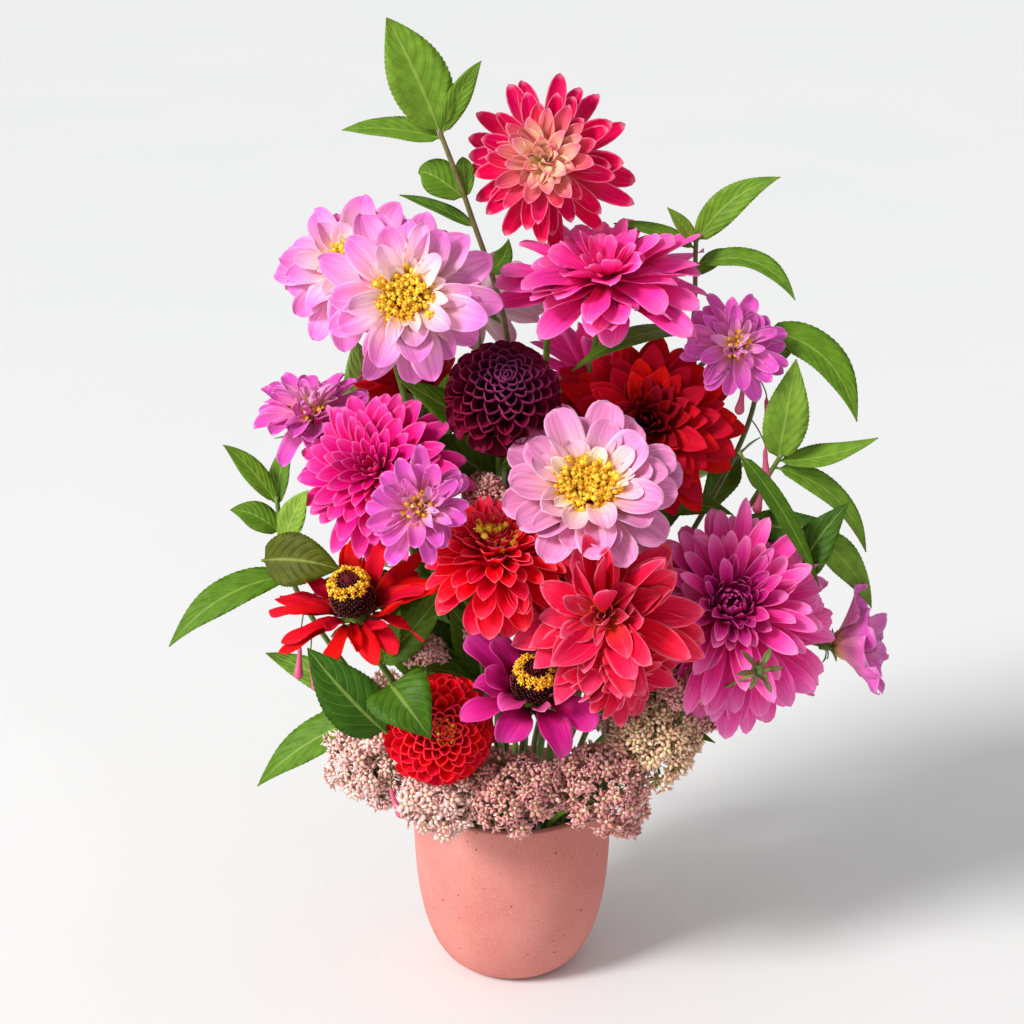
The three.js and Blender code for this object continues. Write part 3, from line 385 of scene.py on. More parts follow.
# ---------------------------------------------------------------- bloom forms
POINTED = dict(tip=(2.2, 1.65), base=0.32, widest=0.6, rows=10, columns=10, flick=-14, thick=0.014)
BLUNT = dict(tip=(2.6, 2.1), base=0.3, rows=10, columns=10, flick=-8, wave=0.06, thick=0.014)
FULL = dict(
    count=112, aim=(-13, 11, 29, 44, 80), curl=(-26, -14, -2, 18, 56), length=(0.9, 0.78, 0.66, 0.48, 0.24),
    width=(0.27, 0.27, 0.25, 0.18, 0.08), cup=(1.0, 0.75), tip=(2.0, 1.5), base=0.4, widest=0.62,
    heart=(0, 0, 0.2, 0.6, 1), flick=-8,
)
FORMS = {
    "crimson": [
        dict(count=66, aim=(-16, 8, 26, 42), curl=(-20, -12, -6, 4), length=(0.95, 0.82, 0.68, 0.5),
             width=(0.28, 0.28, 0.26, 0.22), cup=(1.25, 0.8), tip=(2.2, 1.7), heart=(0, 0.1, 0.35, 0.7),
             lean=6, twist=12, wave=0.05),
        dict(count=22, aim=(44, 74), curl=(-20, 34), length=(0.42, 0.26), width=(0.25, 0.14),
             cup=(1.1, 0.9), seat=((0.07, 0.1), (0.01, 0.15)), heart=(0.85, 1), lean=12, twist=26,
             wave=0.08),
    ],
    "magenta": [
        dict(count=70, aim=(-6, 4, 15, 30, 66), curl=(-16, -12, -8, 2, 40), flick=-12,
             length=(0.96, 0.93, 0.84, 0.64, 0.3), width=(0.34, 0.35, 0.33, 0.27, 0.12), cup=(0.85, 0.4),
             tip=(2.4, 1.9), base=0.36, widest=0.62, heart=(0, 0, 0.1, 0.5, 1), lean=8, twist=20, sway=0.08,
             wave=0.07),
    ],
    "pompon": [
        dict(count=150, globe=(0.68, 128, 0.6, 1.9), aim=(-4, 10), curl=(-6, 10), length=(0.34, 0.32, 0.2),
             cup=(2.3, 1.5), tip=(2.6, 1.8), base=0.8, widest=0.7, twist=4, sway=0.02, wave=0.0, crease=0.0,
             thick=0.022, rows=6, columns=8),
    ],
    "ball": [
        dict(count=144, globe=(0.42, 124, 1.1, 1.3), aim=(-20, 4), curl=(-12, 18), length=(0.68, 0.6, 0.2),
             cup=(1.6, 0.9), tip=(1.9, 1.4), base=0.5, lean=5, sway=0.04, crease=0.02, thick=0.012, rows=7,
             columns=8),
    ],
    "skirt": [
        dict(count=44, aim=(-26, -8, 8), curl=(-10, -10, -8), flick=-10, length=(1.0, 0.95, 0.86),
             width=(0.27, 0.29, 0.27), cup=(1.2, 0.6), tip=(2.3, 1.7), base=0.4, widest=0.62,
             heart=(0, 0, 0.1), lean=7, twist=14, sway=0.06, wave=0.06),
    ],
    "domed": [
        dict(count=92, aim=(-14, 6, 22, 42, 62), curl=(-18, -10, 0, 10, 30), flick=-8,
             length=(0.98, 0.94, 0.82, 0.64, 0.44), width=(0.25, 0.26, 0.24, 0.2, 0.15), cup=(1.5, 0.8),
             tip=(2.3, 1.7), base=0.42, widest=0.62, seat=((0.14, -0.08), (0.12, 0.1)),
             heart=(0, 0, 0.1, 0.4, 0.9), lean=7, twist=14, sway=0.06, wave=0.06),
        dict(count=46, aim=(62, 88), curl=(70, 100), length=(0.4, 0.26), width=(0.14, 0.07), base=0.5,
             seat=((0.14, 0.06), (0.02, 0.14)), heart=(0.95, 1)),
    ],
    "open": [
        dict(POINTED, count=14, aim=(-4, 2), curl=(-14, -8), length=(0.98, 0.92), width=(0.47, 0.45),
             cup=(0.85, 0.4), seat=((0.14, -0.08), (0.14, -0.05)), heart=(0, 0.1), lean=5, twist=14,
             wave=0.07, crease=0.09),
        dict(POINTED, count=13, aim=(10, 18), curl=(-16, -8), length=(0.88, 0.8), width=(0.48, 0.44),
             cup=(0.95, 0.5), seat=((0.15, -0.03), (0.15, 0.02)), heart=(0.05, 0.3), lean=6, twist=16,
             wave=0.08, crease=0.1, start=0.7),
        dict(count=9, aim=(26, 36), curl=(-20, -10), length=(0.7, 0.58), width=(0.38, 0.34),
             cup=(1.05, 0.6), tip=(2.2, 1.7), base=0.32, seat=((0.16, 0.03), (0.16, 0.05)),
             heart=(0.4, 0.6), lean=11, twist=20, wave=0.09, crease=0.1, start=0.2, rows=9, columns=8),
        dict(count=9, aim=(36, 50), curl=(-40, -10), length=(0.44, 0.34), width=(0.24, 0.17),
             cup=(1.1, 0.8), tip=(2.2, 1.7), seat=((0.2, 0.04), (0.19, 0.05)), heart=(0.9, 1), lean=9,
             twist=22, wave=0.08, start=0.3),
    ],
    "round": [
        dict(BLUNT, count=15, aim=(14, 20), curl=(-16, -10), length=(1.0, 0.94), width=(0.52, 0.48),
             cup=(0.8, 0.45), widest=0.66, seat=((0.14, -0.1), (0.14, -0.06)), heart=(0, 0.1), lean=4,
             crease=0.06),
        dict(BLUNT, count=13, aim=(22, 27), curl=(-16, -8), length=(0.84, 0.76), width=(0.5, 0.44),
             cup=(0.9, 0.5), widest=0.64, seat=((0.15, -0.04), (0.15, 0.0)), heart=(0.05, 0.3), lean=5,
             crease=0.07, start=0.7),
        dict(count=9, aim=(30, 36), curl=(-16, -8), length=(0.66, 0.56), width=(0.42, 0.34),
             cup=(1.0, 0.55), tip=(2.5, 2.0), base=0.3, widest=0.64, seat=((0.16, 0.02), (0.16, 0.04)),
             heart=(0.4, 0.6), lean=8, wave=0.07, crease=0.08, start=0.2, rows=9, columns=8),
        dict(count=7, aim=(34, 48), curl=(-30, -10), length=(0.48, 0.38), width=(0.26, 0.2), cup=(1.0, 0.8),
             tip=(2.4, 1.9), seat=((0.21, 0.04), (0.2, 0.05)), heart=(0.9, 1), lean=10, twist=20, wave=0.08,
             start=0.3),
    ],
    "tuft": [
        dict(count=6, aim=(66, 82), curl=(-10, 10), length=(1.0, 0.86), width=(0.32, 0.26), cup=(1.1, 0.6),
             tip=(2.0, 1.45), base=0.34, widest=0.58, seat=((0.12, 0), (0.04, 0)), heart=(0.1, 0.4),
             lean=6),
    ],
    "red": [
        dict(FULL, count=124, width=(0.32, 0.32, 0.28, 0.19, 0.08), cup=(0.9, 0.5), tip=(1.9, 1.3),
             heart=(0, 0.05, 0.25, 0.75, 1), lean=5),
    ],
    "pink": [FULL],
    "coral": [
        dict(count=44, aim=(-20, 4, 22, 42), curl=(-16, -8, -4, 10), length=(1.0, 0.94, 0.8, 0.56),
             width=(0.4, 0.4, 0.36, 0.28), cup=(1.15, 0.55), tip=(2.0, 1.45), base=0.34, widest=0.58,
             heart=(0, 0, 0.3, 0.7), lean=8, twist=22, sway=0.12, wave=0.09),
        dict(count=14, aim=(50, 78), curl=(-10, 34), length=(0.46, 0.2), width=(0.2, 0.09), cup=(1.2, 1.1),
             tip=(1.9, 1.3), seat=((0.07, 0.12), (0.01, 0.15)), heart=(0.8, 1), lean=10, twist=24),
    ],
    "small": [
        dict(count=30, aim=(-4, 10, 26), curl=(-14, -10, 4), flick=-16, length=(0.98, 0.9, 0.76),
             width=(0.42, 0.44, 0.4), cup=(1.2, 0.8), tip=(2.3, 1.75), seat=((0.16, -0.1), (0.15, 0)),
             heart=(0, 0.05, 0.3), lean=10, twist=18, wave=0.09, rows=9),
        dict(count=22, aim=(30, 72), curl=(-20, 30), length=(0.68, 0.34), width=(0.32, 0.16),
             cup=(1.5, 1.1), tip=(2.1, 1.6), seat=((0.14, 0.02), (0.03, 0.1)), heart=(0.4, 1), lean=13,
             twist=34, sway=0.12, wave=0.1),
    ],
    "cup": [
        dict(count=8, aim=40, curl=-16, flick=-12, length=1.35, width=0.84, cup=(0.8, 0.4), tip=(3.2, 2.4),
             base=0.25, widest=0.7, seat=(0.13, -0.14), heart=(0.4, 0.5), wave=0.14, crease=0.14, even=True,
             rows=11, columns=8),
        dict(count=5, aim=(56, 60), curl=-10, length=(1.1, 1.0), width=(0.6, 0.5), cup=(0.9, 0.5),
             tip=(3.0, 2.2), base=0.25, widest=0.7, seat=(0.1, -0.1), heart=(0.6, 0.7), lean=7, wave=0.12,
             crease=0.12, even=True, start=0.4, rows=9, columns=8),
    ],
    "zinnia": [
        dict(count=15, aim=(12, -6), curl=(-26, -40), length=(0.88, 0.76), width=(0.28, 0.24),
             cup=(1.0, -0.4), tip=(2.2, 1.7), base=0.5, seat=((0.26, -0.1), (0.26, -0.08)), heart=(0, 0.3),
             lean=9, twist=22, sway=0.1, wave=0.1, even=True, start=0.2, rows=10),
        dict(count=11, aim=(18, 38), curl=(-30, 30), length=(0.86, 0.66), width=(0.28, 0.2), cup=(1.1, 0.7),
             tip=(2.1, 1.5), base=0.5, seat=((0.26, -0.04), (0.26, -0.03)), heart=(0.3, 0.6), lean=12,
             twist=28, sway=0.12, wave=0.1, even=True, start=0.55, rows=10),
    ],
    "broad_zinnia": [
        dict(count=9, aim=(14, 0), curl=(-28, -36), flick=-14, length=(0.88, 0.8), width=(0.56, 0.48),
             cup=(0.8, 0.3), tip=(2.6, 2.1), widest=0.62, seat=((0.27, -0.1), (0.27, -0.06)),
             heart=(0, 0.25), lean=11, twist=18, sway=0.07, wave=0.1, crease=0.08, even=True, thick=0.016,
             rows=12, columns=12),
        dict(count=7, aim=(22, 40), curl=(-40, -20), length=(0.74, 0.5), width=(0.44, 0.3), cup=(0.95, 0.5),
             tip=(2.4, 1.9), seat=((0.27, -0.03), (0.27, 0)), heart=(0.2, 0.8), lean=12, twist=22, wave=0.1,
             even=True, start=0.4, thick=0.016, rows=10, columns=10),
    ],
}
# As shares of a bloom's radius: the ball that its petals stand on, by form, and otherwise the half axes
# of the lump at their roots.
CORES = {"pompon": 0.66, "ball": 0.42, "tuft": 0.03}
ROOT_LUMP = (0.15, 0.15, 0.14)
# form, at: the middle, face: azimuth and elevation of the way it looks, radius: to the tips,
# under: height of its underside, as a share of the radius, look: its colours
Bloom = namedtuple("Bloom", "form at face radius under look")
BLOOMS = {
    "crimson_dahlia": Bloom("crimson", (19, 6, 506), (-6, 20), 48, -0.12, "crimson"),
    "lilac_dahlia_front": Bloom("open", (-58, -50, 443), (0, 24), 45, -0.12, "lilac"),
    "lilac_dahlia_back": Bloom("open", (-91, 8, 444), (-22, 34), 43, -0.12, "lilac"),
    "magenta_dahlia": Bloom("magenta", (53, -15, 442), (2, 74), 54, -0.12, "magenta"),
    "maroon_pompon": Bloom("pompon", (-5, -34, 379), (6, 46), 33, -0.56, "maroon"),
    "red_dahlia": Bloom("red", (78, -14, 357), (0, 30), 56, -0.12, "red"),
    "blush_dahlia": Bloom("round", (42, -68, 336), (4, 44), 48, -0.12, "blush"),
    "pink_dahlia": Bloom("pink", (-77, -32, 334), (-18, 34), 53, -0.12, "pink"),
    "orchid_dahlia_front": Bloom("small", (-51, -92, 335), (8, 24), 28, -0.2, "orchid"),
    "orchid_dahlia_left": Bloom("small", (-117, 4, 358), (-6, 72), 34, -0.2, "orchid"),
    "coral_ball_dahlia": Bloom("ball", (-9, -63, 290), (2, 70), 40, -0.56, "coral"),
    "coral_dahlia": Bloom("coral", (54, -87, 268), (-20, 24), 50, -0.12, "salmon"),
    "purple_dahlia": Bloom("domed", (126, -50, 258), (4, 34), 56, -0.12, "purple"),
    "red_zinnia": Bloom("zinnia", (-90, -60, 262), (-24, 66), 46, -0.2, "scarlet"),
    "magenta_zinnia": Bloom("broad_zinnia", (11, -82, 219), (16, 62), 39, -0.2, "plum"),
    "red_pompon": Bloom("pompon", (-42, -84, 196), (10, 22), 32, -0.56, "poppy"),
    "orchid_dahlia_right": Bloom("small", (127, -17, 405), (10, 24), 27, -0.2, "orchid"),
    "cosmos": Bloom("cup", (196, -20, 221), (78, 12), 28, -0.2, "orchid"),
    "red_dahlia_back": Bloom("red", (-58, 54, 350), (-165, 18), 40, -0.2, "red"),
    "pale_dahlia_back": Bloom("open", (-20, 46, 414), (-176, 34), 38, -0.12, "pale"),
    "plum_dahlia_back": Bloom("pink", (47, 66, 360), (150, 20), 42, -0.2, "magenta"),
}
# more heads that grow against a bloom: form, middle, face, radius
TWINS = {
    "coral_dahlia": [("coral", (62, -86, 240), (24, -12), 36), ("tuft", (50, -100, 279), (0, 60), 50)],
    "purple_dahlia": [("skirt", (132, -44, 241), (12, 18), 59)],
}


def set_at(at, face):
    """The rotation and the middle that place something there, looking that way."""
    return turns(heading(*face))[0], np.array(at, float)


def lump(bundle, radii, place, heart, sides=16, rows=10):
    """A closed ellipsoid, turned and placed."""
    polar = np.linspace(math.pi, 0, rows + 1)
    points, faces, _ = lathe(np.stack([np.sin(polar), np.cos(polar)], axis=1), sides)
    bundle.add(points * radii @ place[0].T + place[1], faces, [0.3, 0, 0.5, heart])


# ---------------------------------------------------------------- materials


def rgb(code):
    """Linear colour of a six-digit code."""
    parts = [int(code[i:i + 2], 16) / 255 for i in (0, 2, 4)]
    return [c / 12.92 if c <= 0.04045 else ((c + 0.055) / 1.055) ** 2.4 for c in parts]


class Shader:
    """A material with one Principled node, and short names for the nodes that feed it."""

    def __init__(self, name, **constants):
        self.material = bpy.data.materials.new(name)
        self.material.use_nodes = True
        self.tree = self.material.node_tree
        self.bsdf = self.tree.nodes["Principled BSDF"]
        for socket, value in constants.items():
            self.bsdf.inputs[socket.replace("_", " ")].default_value = value

    def node(self, kind, inputs=(), **settings):
        made = self.tree.nodes.new(kind)
        for key, value in settings.items():
            setattr(made, key, value)
        for socket, value in dict(inputs).items():
            self.feed(made.inputs[socket], value)
        return made

    def feed(self, socket, value):
        if isinstance(value, bpy.types.NodeSocket):
            self.tree.links.new(value, socket)
        elif socket.type == "RGBA":
            socket.default_value = [*value, 1.0][:4]
        else:
            socket.default_value = value

    def math(self, operation, a, b=0.0):
        return self.node("ShaderNodeMath", {0: a, 1: b}, operation=operation).outputs[0]

    def mix(self, factor, a, b, blend="MIX"):
        made = self.node("ShaderNodeMix", {0: factor, 6: a, 7: b}, data_type="RGBA", blend_type=blend)
        return made.outputs[2]

    def times(self, *values):
        product = values[0]
        for value in values[1:]:
            product = self.math("MULTIPLY", product, value)
        return product

    def ramp(self, factor, codes, places):
        """Colours, written as codes with spaces between them, at their places along a ramp."""
        made = self.node("ShaderNodeValToRGB", {0: factor})
        elements = made.color_ramp.elements
        while len(elements) < len(places):
            elements.new(0.5)
        for element, code, place in zip(elements, codes.split(), places):
            element.position = place
            element.color = [*rgb(code), 1.0]
        return made.outputs[0]

    def remap(self, value, low, high, first=0.0, last=1.0):
        inputs = {0: value, 1: low, 2: high, 3: first, 4: last}
        return self.node("ShaderNodeMapRange", inputs, interpolation_type="SMOOTHSTEP").outputs[0]

    def noise(self, scale, vector, detail):
        inputs = {"Vector": vector, "Scale": scale, "Detail": detail, "Roughness": 0.5}
        return self.node("ShaderNodeTexNoise", inputs).outputs[0]

    def marks(self):
        """Along, across, tone and heart, as Bundle marks them."""
        petal = self.node("ShaderNodeAttribute", attribute_name="petal").outputs["Vector"]
        heart = self.node("ShaderNodeAttribute", attribute_name="heart").outputs["Fac"]
        parts = self.node("ShaderNodeSeparateXYZ", {0: petal}).outputs
        return parts[0], parts[1], parts[2], heart

    def streaks(self, along, across, tone, fine, long):
        """Noise drawn out along a petal, different on each."""
        shifts = {0: self.times(across, fine), 1: self.times(along, long), 2: self.times(tone, 53.0)}
        return self.noise(1.0, self.node("ShaderNodeCombineXYZ", shifts).outputs[0], 2.0)

    def position(self, scale, detail=3.0):
        """Noise in the object's own space."""
        place = self.node("ShaderNodeTexCoord").outputs["Object"]
        return self.noise(scale, place, detail)

    def tinted(self, colour, tone, low, high, hues=(0.494, 0.501)):
        """A colour made darker or lighter, and turned a little in hue, by tone."""
        hue = self.remap(tone, 0, 1, *hues)
        value = self.remap(tone, 0, 1, low, high)
        return self.node("ShaderNodeHueSaturation", {"Hue": hue, "Value": value, "Color": colour}).outputs[0]

    def bump(self, height, strength, distance):
        made = self.node("ShaderNodeBump", {"Height": height, "Strength": strength, "Distance": distance})
        self.feed(self.bsdf.inputs["Normal"], made.outputs[0])

    def colour(self, socket):
        self.feed(self.bsdf.inputs["Base Color"], socket)
        return self.material


# colours of the root, the middle, the outer part and the tip of an outer petal, the same of one at the
# heart, the colour and strength of the pale margin, which is partly painted highlight, and of the
# painted highlight streaks, and the heart values between which the heart's colours take over
LOOKS = {
    "crimson": ("fcd07c f23c62 e4004e d80048", "ffd838 ffeeb4 ffc8a4 fc6488", "ffb4d0", 0.62, (0.22, 0.8)),
    "lilac": ("fac03c fcd0cc f298d0 e05cb8", "f8b830 fcdca8 fcd8d0 f8c4dc", "fac0e8", 0.4, (0.25, 0.85)),
    "magenta": ("e04058 f82c90 fc3ca4 ff70b8", "d88414 ea246c f83090 fc68ac", "faa0cc", 0.4, (0.45, 1.0)),
    "maroon": ("48001c 600420 7c042c 84103c", "38081c 500c2c 64183c 743060", "9c2c58", 0.32, (0.35, 1.0)),
    "red": ("700002 a80003 c80206 d0060c", "160002 3a0006 600408 8c0c18", "d42024", 0.2, (0.35, 1.0)),
    "blush": ("fac040 f8c4bc f09cc8 e880ba", "f8b838 fad8a0 fadcc0 f8d4d0", "fad0e6", 0.5, (0.3, 0.85)),
    "pink": ("b80060 e00070 ec1084 f2449e", "940048 c80068 dc0c7c ee3c9c", "fca4d0", 0.38, (0.4, 1.0)),
    "orchid": ("fbc870 ee84c0 e45cbc d848b0", "f8c040 f8d0a8 f0a8d0 e47cc4", "fac0e6", 0.5, (0.3, 0.95)),
    "coral": ("dc0418 f40624 fc102c ff3850", "c8440c dc0a1a ea1224 f83c48", "ff909c", 0.55, (0.5, 1.0)),
    "salmon": ("c05a10 dc0826 e8143a f03c5c", "c8a02c cc4a24 e42c50 f06c90", "fca0b8", 0.5, (0.35, 0.9)),
    "purple": ("c80c50 e8147c f840a2 fc84c4", "84064c a40a64 c01478 d83c98", "fcb4d8", 0.34, (0.3, 0.95)),
    "scarlet": ("780002 c00208 dc0814 dc1014", "7a0004 b80208 d0080e cc0c10", "ee3028", 0.2, (0.5, 1.0)),
    "plum": ("600430 a80854 d42088 e0409c", "b04070 d8609c ee8cb0 f8b4c8", "f07cbc", 0.35, (0.5, 0.9)),
    "poppy": ("e00412 ec0614 f40818 fa1824", "c89018 cc4414 e01418 f02420", "fc5c54", 0.4, (0.82, 1.0)),
    "pale": ("f6ead0 f8dce0 f4c2d8 eca8ca", "f2c860 f6e6c8 f8eee0 f8eee0", "fae4f0", 0.4, (0.4, 0.85)),
}


def petal_material(name, outer_codes, eye_codes, margin_and_highlight_code, margin_and_highlight_share, turn):
    """A petal with a colour that runs along it, fine streaks with painted shade in their grooves and painted
    light on their ridges, streaks of painted highlight, and a pale margin that is partly the petal's own
    colour and partly painted highlight.
    """
    made = Shader(f"petals_{name}", Roughness=0.6, Subsurface_Weight=0.12, Subsurface_Scale=0.0014,
                  Specular_IOR_Level=0.09)
    made.bsdf.inputs["Subsurface Radius"].default_value = (1.0, 0.5, 0.6)
    along, across, tone, heart = made.marks()
    places = (0.0, 0.32, 0.72, 1.0)
    outer = made.ramp(along, outer_codes, places)
    eye = made.ramp(along, eye_codes, places)
    colour = made.mix(made.remap(heart, *turn), outer, eye)
    fine = made.streaks(along, across, tone, 7.0, 1.3)
    finer = made.streaks(along, across, tone, 19.0, 2.6)
    # painted shade in the grooves of the fine streaks, where the bump sinks, and painted light on their
    # ridges
    depth = made.mix(made.remap(fine, 0.36, 0.64), (0.87, 0.82, 0.85), (1.07, 1.08, 1.07))
    colour = made.mix(1.0, colour, depth, "MULTIPLY")
    # the pale margin and tip: partly the petal's own paler edge and partly painted highlight where light
    # catches it
    margin = made.remap(made.math("ABSOLUTE", across), 0.8, 1.0)
    end = made.remap(along, 0.9, 1.0)
    streak = made.math("ADD", 0.35, made.times(made.remap(finer, 0.4, 0.62), 0.65))
    rim = made.times(made.math("MAXIMUM", margin, end), margin_and_highlight_share, made.remap(along, 0.3, 0.75), streak)
    # painted highlight: pale streaks along the middle and outer part of the petal, in the margin's colour
    highlight_streaks = made.times(made.remap(fine, 0.62, 0.8), 0.5 * margin_and_highlight_share, made.remap(along, 0.3, 0.6))
    colour = made.mix(made.math("MAXIMUM", rim, highlight_streaks), colour, rgb(margin_and_highlight_code))
    colour = made.tinted(colour, tone, 0.9, 1.1)
    made.bump(made.math("ADD", fine, made.times(finer, 0.5)), 0.3, 0.0004)
    return made.colour(colour)


VEIN_PAIRS = 8.0
VEIN_REACH = 2.6  # how far a side vein runs on towards the tip, in gaps between side veins
VEIN_BEND = 1.3  # exponent of its curve


def leaf_material():
    """Pale veins on a green blade. The heart value is 1 on its underside, tone runs dark to yellow."""
    made = Shader("leaf", Roughness=0.48, Subsurface_Weight=0.06, Subsurface_Scale=0.001,
                  Specular_IOR_Level=0.16)
    along, across, tone, heart = made.marks()
    side = made.math("ABSOLUTE", across)
    blade = made.ramp(tone, "2e5404 62881c 84a43a 4a5000", (0.0, 0.45, 0.8, 1.0))
    mottle = made.remap(made.position(160.0), 0.35, 0.65)
    blade = made.mix(1.0, blade, made.mix(mottle, (0.82, 0.85, 0.8), (1.1, 1.08, 1.1)), "MULTIPLY")
    reach = made.times(made.math("POWER", side, VEIN_BEND), VEIN_REACH)
    place = made.math("SUBTRACT", made.times(along, VEIN_PAIRS), reach)
    ridge = made.math("ABSOLUTE", made.math("SUBTRACT", made.math("FRACT", place), 0.5))
    lateral = made.times(made.remap(ridge, 0.42, 0.5), made.remap(side, 1.0, 0.6))
    midrib = made.remap(side, 0.09, 0.03)
    vein = made.math("MAXIMUM", midrib, made.times(lateral, 0.5))
    fresh = made.mix(0.45, blade, rgb("b8cc64"))
    colour = made.mix(made.times(vein, 0.6), blade, fresh)
    under = made.mix(0.35, colour, rgb("9ab068"))
    colour = made.mix(heart, colour, under)
    made.bump(made.math("SUBTRACT", made.remap(ridge, 0.0, 0.5), vein), 0.5, 0.0006)
    return made.colour(colour)


def stem_material():
    """Mottled; the tone runs from brown to green, and the heart value turns it pink."""
    made = Shader("stem", Roughness=0.45, Specular_IOR_Level=0.4, Subsurface_Weight=0.05,
                  Subsurface_Scale=0.001)
    _, _, tone, heart = made.marks()
    colour = made.ramp(tone, "6b4a35 6f7040 5f8430 8aa53c", (0.0, 0.4, 0.7, 1.0))
    patch = made.remap(made.position(220.0), 0.35, 0.65)
    colour = made.mix(1.0, colour, made.mix(patch, (0.8, 0.8, 0.78), (1.12, 1.1, 1.05)), "MULTIPLY")
    colour = made.mix(heart, colour, rgb("d0567a"))
    made.bump(made.position(900.0), 0.15, 0.0003)
    return made.colour(colour)


def floret_material(name, codes, eye):
    """Small parts: from the root to the tip by their place, towards the eye's colour by the heart."""
    made = Shader(name, Roughness=0.55, Subsurface_Weight=0.1, Subsurface_Scale=0.0008,
                  Specular_IOR_Level=0.3)
    along, _, tone, heart = made.marks()
    colour = made.mix(heart, made.ramp(along, codes, (0.0, 0.5, 1.0)), rgb(eye))
    return made.colour(made.tinted(colour, tone, 0.86, 1.1, (0.494, 0.506)))


def vase_material():
    """Unglazed pink clay with faint clouds, fine grain and small dark pits."""
    made = Shader("vase", Roughness=0.78, Specular_IOR_Level=0.25)
    clouds = made.remap(made.position(18.0, 4.0), 0.3, 0.7)
    grain = made.position(700.0, 5.0)
    colour = made.mix(clouds, rgb("c4736a"), rgb("d0837a"))
    colour = made.mix(made.remap(grain, 0.3, 0.7), colour, made.mix(0.16, colour, rgb("f0b4a8")))
    place = made.node("ShaderNodeTexCoord").outputs["Object"]
    cells = made.node("ShaderNodeTexVoronoi", {"Vector": place, "Scale": 190.0, "Randomness": 1.0})
    chance = made.node("ShaderNodeSeparateColor", {0: cells.outputs["Color"]}).outputs[0]
    size = made.remap(chance, 0.5, 1.0, 0.0, 0.17)
    gap = made.math("SUBTRACT", size, cells.outputs["Distance"])
    pit = made.remap(gap, 0.0, 0.035)
    colour = made.mix(made.times(pit, 0.8), colour, rgb("7a3530"))
    made.bump(made.math("SUBTRACT", made.times(grain, 0.3), pit), 0.5, 0.0005)
    return made.colour(colour)


def water_material():
    """Clear and a little cloudy."""
    made = Shader("water", Roughness=0.05, Transmission_Weight=0.85, IOR=1.333)
    tint = made.mix(made.remap(made.position(30.0), 0.3, 0.7), rgb("d7e4dc"), rgb("c4d6c8"))
    return made.colour(tint)


PETALS = {name: petal_material(name, *look) for name, look in LOOKS.items()}
LEAF = leaf_material()
STEM = stem_material()
YELLOW = floret_material("florets_yellow", "d06c04 f4a40a fcd444", "e08a10")
BROWN = floret_material("cone_brown", "1e0508 4e1018 8a4030", "6a0c1c")
SEDUM_PINK = floret_material("stonecrop_pink", "b4bc74 fcbcb8 ffe4de", "fce0d4")
SEDUM_MAUVE = floret_material("stonecrop_mauve", "98ac4c e08c90 f8c4be", "fae4cc")
SEDUM_CREAM = floret_material("stonecrop_cream", "9cb84a f2bc9c fde4cc", "f6e8b8")
VASE = vase_material()

# ---------------------------------------------------------------- blooms
CLUB = lathe([(0, 0), (0.07, 0.02), (0.06, 0.5), (0.13, 0.72), (0.15, 0.96), (0, 1.0)], 5)
STALK = lathe([(0, 0), (0.04, 0.01), (0.04, 0.99), (0, 1)], 3)
BUD = lathe([(0, -1), (0.4, -0.5), (0.46, 0.3), (0, 1)], 5)
STAR = star(5, 0.3, 0.25, 0.12)
BRISTLE = star(1, 0.16, 0.0, 0.1)


def stamens(bundle, name, share, count, tall, rng):
    """Golden clubs packed on a disc, the outer ones longer and leaning out."""
    form, at, face, radius, *_ = BLOOMS[name]
    turn, middle = set_at(at, face)
    t = (np.arange(count) + 0.5) / count
    azimuth = np.arange(count) * GOLDEN
    lean = np.radians(56 * t + rng.normal(0, 16, count))
    rise = (CORES.get(form, 0) + 0.07) * radius
    base = around(azimuth, share * radius * np.sqrt(t), rise - 1.5 * t)
    axis = around(azimuth, np.sin(lean), np.cos(lean))
    size = tall * ((0.13 + 0.13 * t) * radius + rng.normal(0, 1.2, count))
    scatter(bundle, CLUB, base @ turn.T + middle, axis @ turn.T, size, 0.0, rng.random(count), 0.0)
    open_ones = rng.random(count) < 0.6
    tips = (base + axis * size[:, None] * 0.95)[open_ones]
    scatter(bundle, STAR, tips @ turn.T + middle, axis[open_ones] @ turn.T, 0.24 * size[open_ones], 0.0,
            rng.random(len(tips)), 0.0)
    top = middle + turn[:, 2] * (rise - 0.07 * radius)
    lump(bundle, (share * radius, share * radius, 0.12 * radius), (turn, top), 0.5)


def bloom(name, seed):
    """A bloom with all its heads, as one piece."""
    look = BLOOMS[name].look
    rng = np.random.default_rng(seed)
    bundle = Bundle()
    for form, at, face, radius in [BLOOMS[name][:4], *TWINS.get(name, ())]:
        place = set_at(at, face)
        for whorl in FORMS[form]:
            grow(bundle, whorl, radius, place, rng)
        if form in CORES:
            lump(bundle, CORES[form] * radius, place, 0.4)
        else:
            lump(bundle, np.array(ROOT_LUMP) * radius, place, 0.7)
    bundle.piece(f"{name}_petals", PETALS[look], f"petals_{look}", name)


for seed, name in enumerate(BLOOMS):
    bloom(name, 100 + seed)

